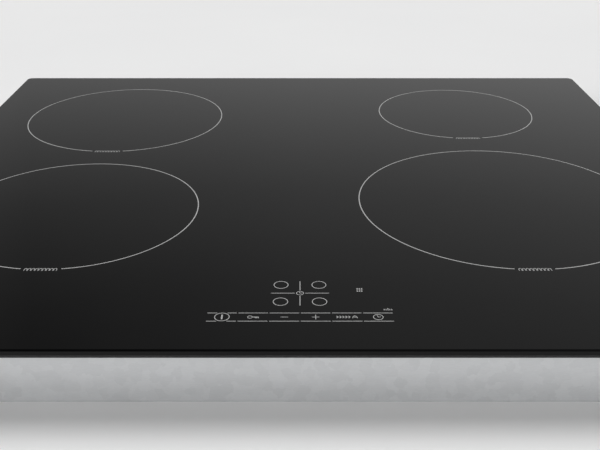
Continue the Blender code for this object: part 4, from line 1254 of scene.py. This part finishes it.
def fan_floor(shape, outline, centre, low, high):
    """The casing's floor: a ring round the eye, and the outlet's plate beyond the line across its mouth."""
    end, start, steps = outline[-3], outline[0], 16
    mouth = [end.lerp(start, i / steps) for i in range(1, steps)]
    eye = [centre + (point - centre).normalized() * FAN_EYE for point in outline[:-2] + mouth]
    rims, holes = [], []
    for z in (low, high):
        rim, seam, hole = shape.loop(outline, z), shape.loop(mouth, z), shape.loop(eye, z)
        shape.bridge(rim[:-2] + seam, hole)
        shape.bm.faces.new(rim[-3:] + rim[:1] + seam[::-1])
        rims.append(rim)
        holes.append(hole)
    shape.bridge(*rims)
    shape.bridge(*holes)


def make_fan(side):
    """A spiral casing with an eye in its floor, and two screwed lugs."""
    node = "fan_housing_" + side
    low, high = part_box(node)
    shaft_low, shaft_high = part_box("fan_rotor_" + side)
    centre = ((shaft_low + shaft_high) / 2).xy
    big = high.x - centre.x
    outline = volute(centre, big, low.y)
    floor, roof = low.z + FAN_WALL, high.z - FAN_WALL
    shape = Shape().prism(outline, roof, high.z)
    fan_floor(shape, outline, centre, low.z, floor)
    wall = volute(centre, big, low.y, FAN_WALL / 2)
    shape.line(wall[-1:] + wall[:-1], FAN_WALL, floor, roof)
    place = Matrix.Translation((*centre, 0))
    boss = high.z + 0.0008
    shape.turned(((0, boss), (0.0120, boss), (0.0128, boss - 0.0006), (0.0128, roof), (0, roof)), place, 48)
    screws = Shape()
    for beside in (outline[step] for step in FAN_LUGS):
        lug = beside + (beside - centre).normalized() * 0.003
        shape.turned(drum(0.0045, low.z, floor), Matrix.Translation((*lug, 0)), 24)
        screws.turned(SCREW_HEAD, Matrix.Translation((*lug, floor)), 24)
    casing = shape.done(node + "_look", "black", slot="black_plastic", stands_for=node)
    soften(casing, 0.0004)
    screws.done(f"fan_screws_{side}", "screw", slot="screw_steel")
    dress("screw", "fan_motor_" + side, round_by=0.0002)


def make_rotor(side):
    """The impeller, turning about its motor under the casing's lid."""
    node = "fan_rotor_" + side
    low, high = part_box(node)
    place = upright(low, high, 0)
    top, cup, radius = high.z, low.z + 0.0018, (high.x - low.x) / 2
    plate = top - 0.0012
    inside = FAN_HUB - 0.0014
    profile = [(0, top - 0.0024), (0.0015, top - 0.0024), (0.0015, cup + 0.0014), (inside, cup + 0.0014)]
    profile += [(inside, top), (radius - 0.0003, top), (radius, top - 0.0003), (radius, plate)]
    profile += [(FAN_HUB, plate), (FAN_HUB, cup + 0.0008), (FAN_HUB - 0.0008, cup), (0.0040, cup)]
    profile += [(0.0036, cup + 0.0004), (0, cup + 0.0004)]
    shape = Shape().turned(profile, place, 64)
    for i in range(BLADES):
        line = []
        for j in range(7):
            share = j / 6
            reach = BLADE_INNER + (radius - 0.0006 - BLADE_INNER) * share
            angle = radians(360 * i / BLADES - 14 * share**1.4)
            line.append(Vector((reach * cos(angle), reach * sin(angle))))
        left, right = offsets(line, 0.0005, False)
        shape.prism(left + right[::-1], low.z, (plate + top) / 2, place)
    shape.turned(drum(radius, low.z, low.z + 0.0012, radius - 0.0012), place, 64)
    shape.done(node + "_look", "black", node, "black_plastic", node)


def make_filter_board():
    """The mains filter, on four clipped feet."""
    feet = 0.004
    board = Board("filter_board", feet)
    board.choke(-0.021, 0.008, 0.0160, 0.0155, 11)
    board.case("yellow_box", 0.023, 0.024, 0.032, 0.016, 0.018, 0.0010)
    board.case("yellow_box", 0.023, -0.003, 0.032, 0.014, 0.015, 0.0010)
    board.case("grey_box", -0.022, -0.034, 0.030, 0.016, 0.015)
    board.case("off_white", 0.019, -0.032, 0.022, 0.006, 0.006, 0.0004)
    board.can(0.038, -0.022, 0.0035, 0.011)
    board.connector(-0.039, -0.012, 5)
    board.connector(-0.015, 0.042, 3, "x")
    board.chip(0.013, -0.020, 0.0045, 0.0060, 4)
    for i in range(4):
        board.resistor(0.005 + 0.011 * i, -0.0425)
    foot = ((0, 0), (0.0030, 0), (0.0030, 0.0014), (0.0018, 0.0020), (0.0018, feet), (0, feet))
    board.at_corners("off_white", 0.008, [(radius, z - feet - BOARD_THICK) for radius, z in foot])
    board.done()


def make_control_board():
    """The touch board: a sprung pad under each key, and displays under the zone rings."""
    board = Board("control_board")
    tall = board.tall
    pad = [(0, 0), (0.0030, 0), (0.0030, 0.0006)]
    pad += [(0.0026 if i % 2 else 0.0031, 0.0006 + (tall - 0.0012) * i / 6) for i in range(1, 6)]
    pad += [(0.0033, tall - 0.0006), (0.0035, tall - 0.0003), (0.0035, tall), (0, tall)]
    for key in range(KEY_COUNT):
        spot = key_spot(key) - board.middle.xy
        board.turned("silicone", *spot, pad, 28)
    for side in (-1, 1):
        for back in DISPLAY_BACK:
            spot = on_glass(side * DISPLAY_ACROSS, back) - board.middle.xy
            board.case("display", *spot, 0.0090, 0.0120, tall, 0.0003)
    board.case("display", 0.048, 0.0082, 0.020, 0.013, tall, 0.0003)
    board.chip(-0.050, 0.0077, 0.010, 0.010, 8)
    board.chip(0.075, 0.0027, 0.0045, 0.0060, 4)
    board.connector(-0.053, 0.0207, 6, "x")
    for i in range(5):
        board.resistor(-0.080 + 0.001 * (i % 2), -0.0083 + 0.0060 * i)
    board.done()


def make_ribbon():
    """The ribbed flat cable from the filter board, along the floor and up to the touch board."""
    low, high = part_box("control_ribbon")
    half, wires, thick = (high.x - low.x) / 2, 11, 0.0004
    pitch = 2 * half / wires
    route = [(0, high.z - thick), (0.0046, high.z - thick), (0.0071, high.z - 0.0026)]
    route += [(0.0091, low.z + 0.0048), (0.0111, low.z + 0.0014), (0.0156, low.z + thick)]
    long = high.y - low.y
    route += [(long - 0.0170, low.z + thick), (long - 0.0110, low.z + 0.0014)]
    route += [(long - 0.0090, low.z + 0.0048), (long - 0.0070, low.z + 0.0068), (long, low.z + 0.0073)]
    upper, lower = [], []
    for i in range(wires):
        for share, rise in ((0.02, 0.00012), (0.28, 0.00038), (0.72, 0.00038), (0.98, 0.00012)):
            across = -half + pitch * (i + share)
            upper.append((across, rise))
            lower.append((across, -rise))
    line = [((low.x + high.x) / 2, low.y + along, z) for along, z in eased(route, 0.002)]
    shape = Shape().sweep(line, upper + lower[::-1], side=(1, 0, 0))
    shape.done("control_ribbon_look", "ribbon", slot="ribbon", stands_for="control_ribbon")


def make_mains_wires():
    """Three wires, twisted loosely, from the terminals down to the filter board."""
    low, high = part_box("mains_wires")
    middle, drop, twist = (low + high) / 2, 0.0025, 0.0014
    start, end = Vector((middle.x, high.y, middle.z + drop)), Vector((middle.x, low.y, middle.z - drop))
    for i, look in enumerate(("brown", "blue", "earth")):
        points = []
        for j in range(13):
            share = j / 12
            angle = radians(120 * i + 60 * share)
            point = start.lerp(end, share)
            point.z = start.z + (end.z - start.z) * share * share * (3 - 2 * share) + twist * sin(angle)
            point.x += twist * cos(angle)
            points.append(point)
        shape = Shape().sweep(points, oval(0.0024, 0.0024, 12))
        shape.done("mains_wire_" + look, look, slot="wire", stands_for="mains_wires" if i == 0 else ())

make_stage()
make_glass()
make_zone_print()
make_key_print()
make_cross_print()
make_key_icons()
make_small_signs()
make_case()
make_coil_units()
for side in SIDES:
    make_power_unit(side)
    make_fan(side)
    make_rotor(side)
make_filter_board()
make_control_board()
make_ribbon()
make_mains_wires()


def corners(low, high):
    return [list(low), list(high)]
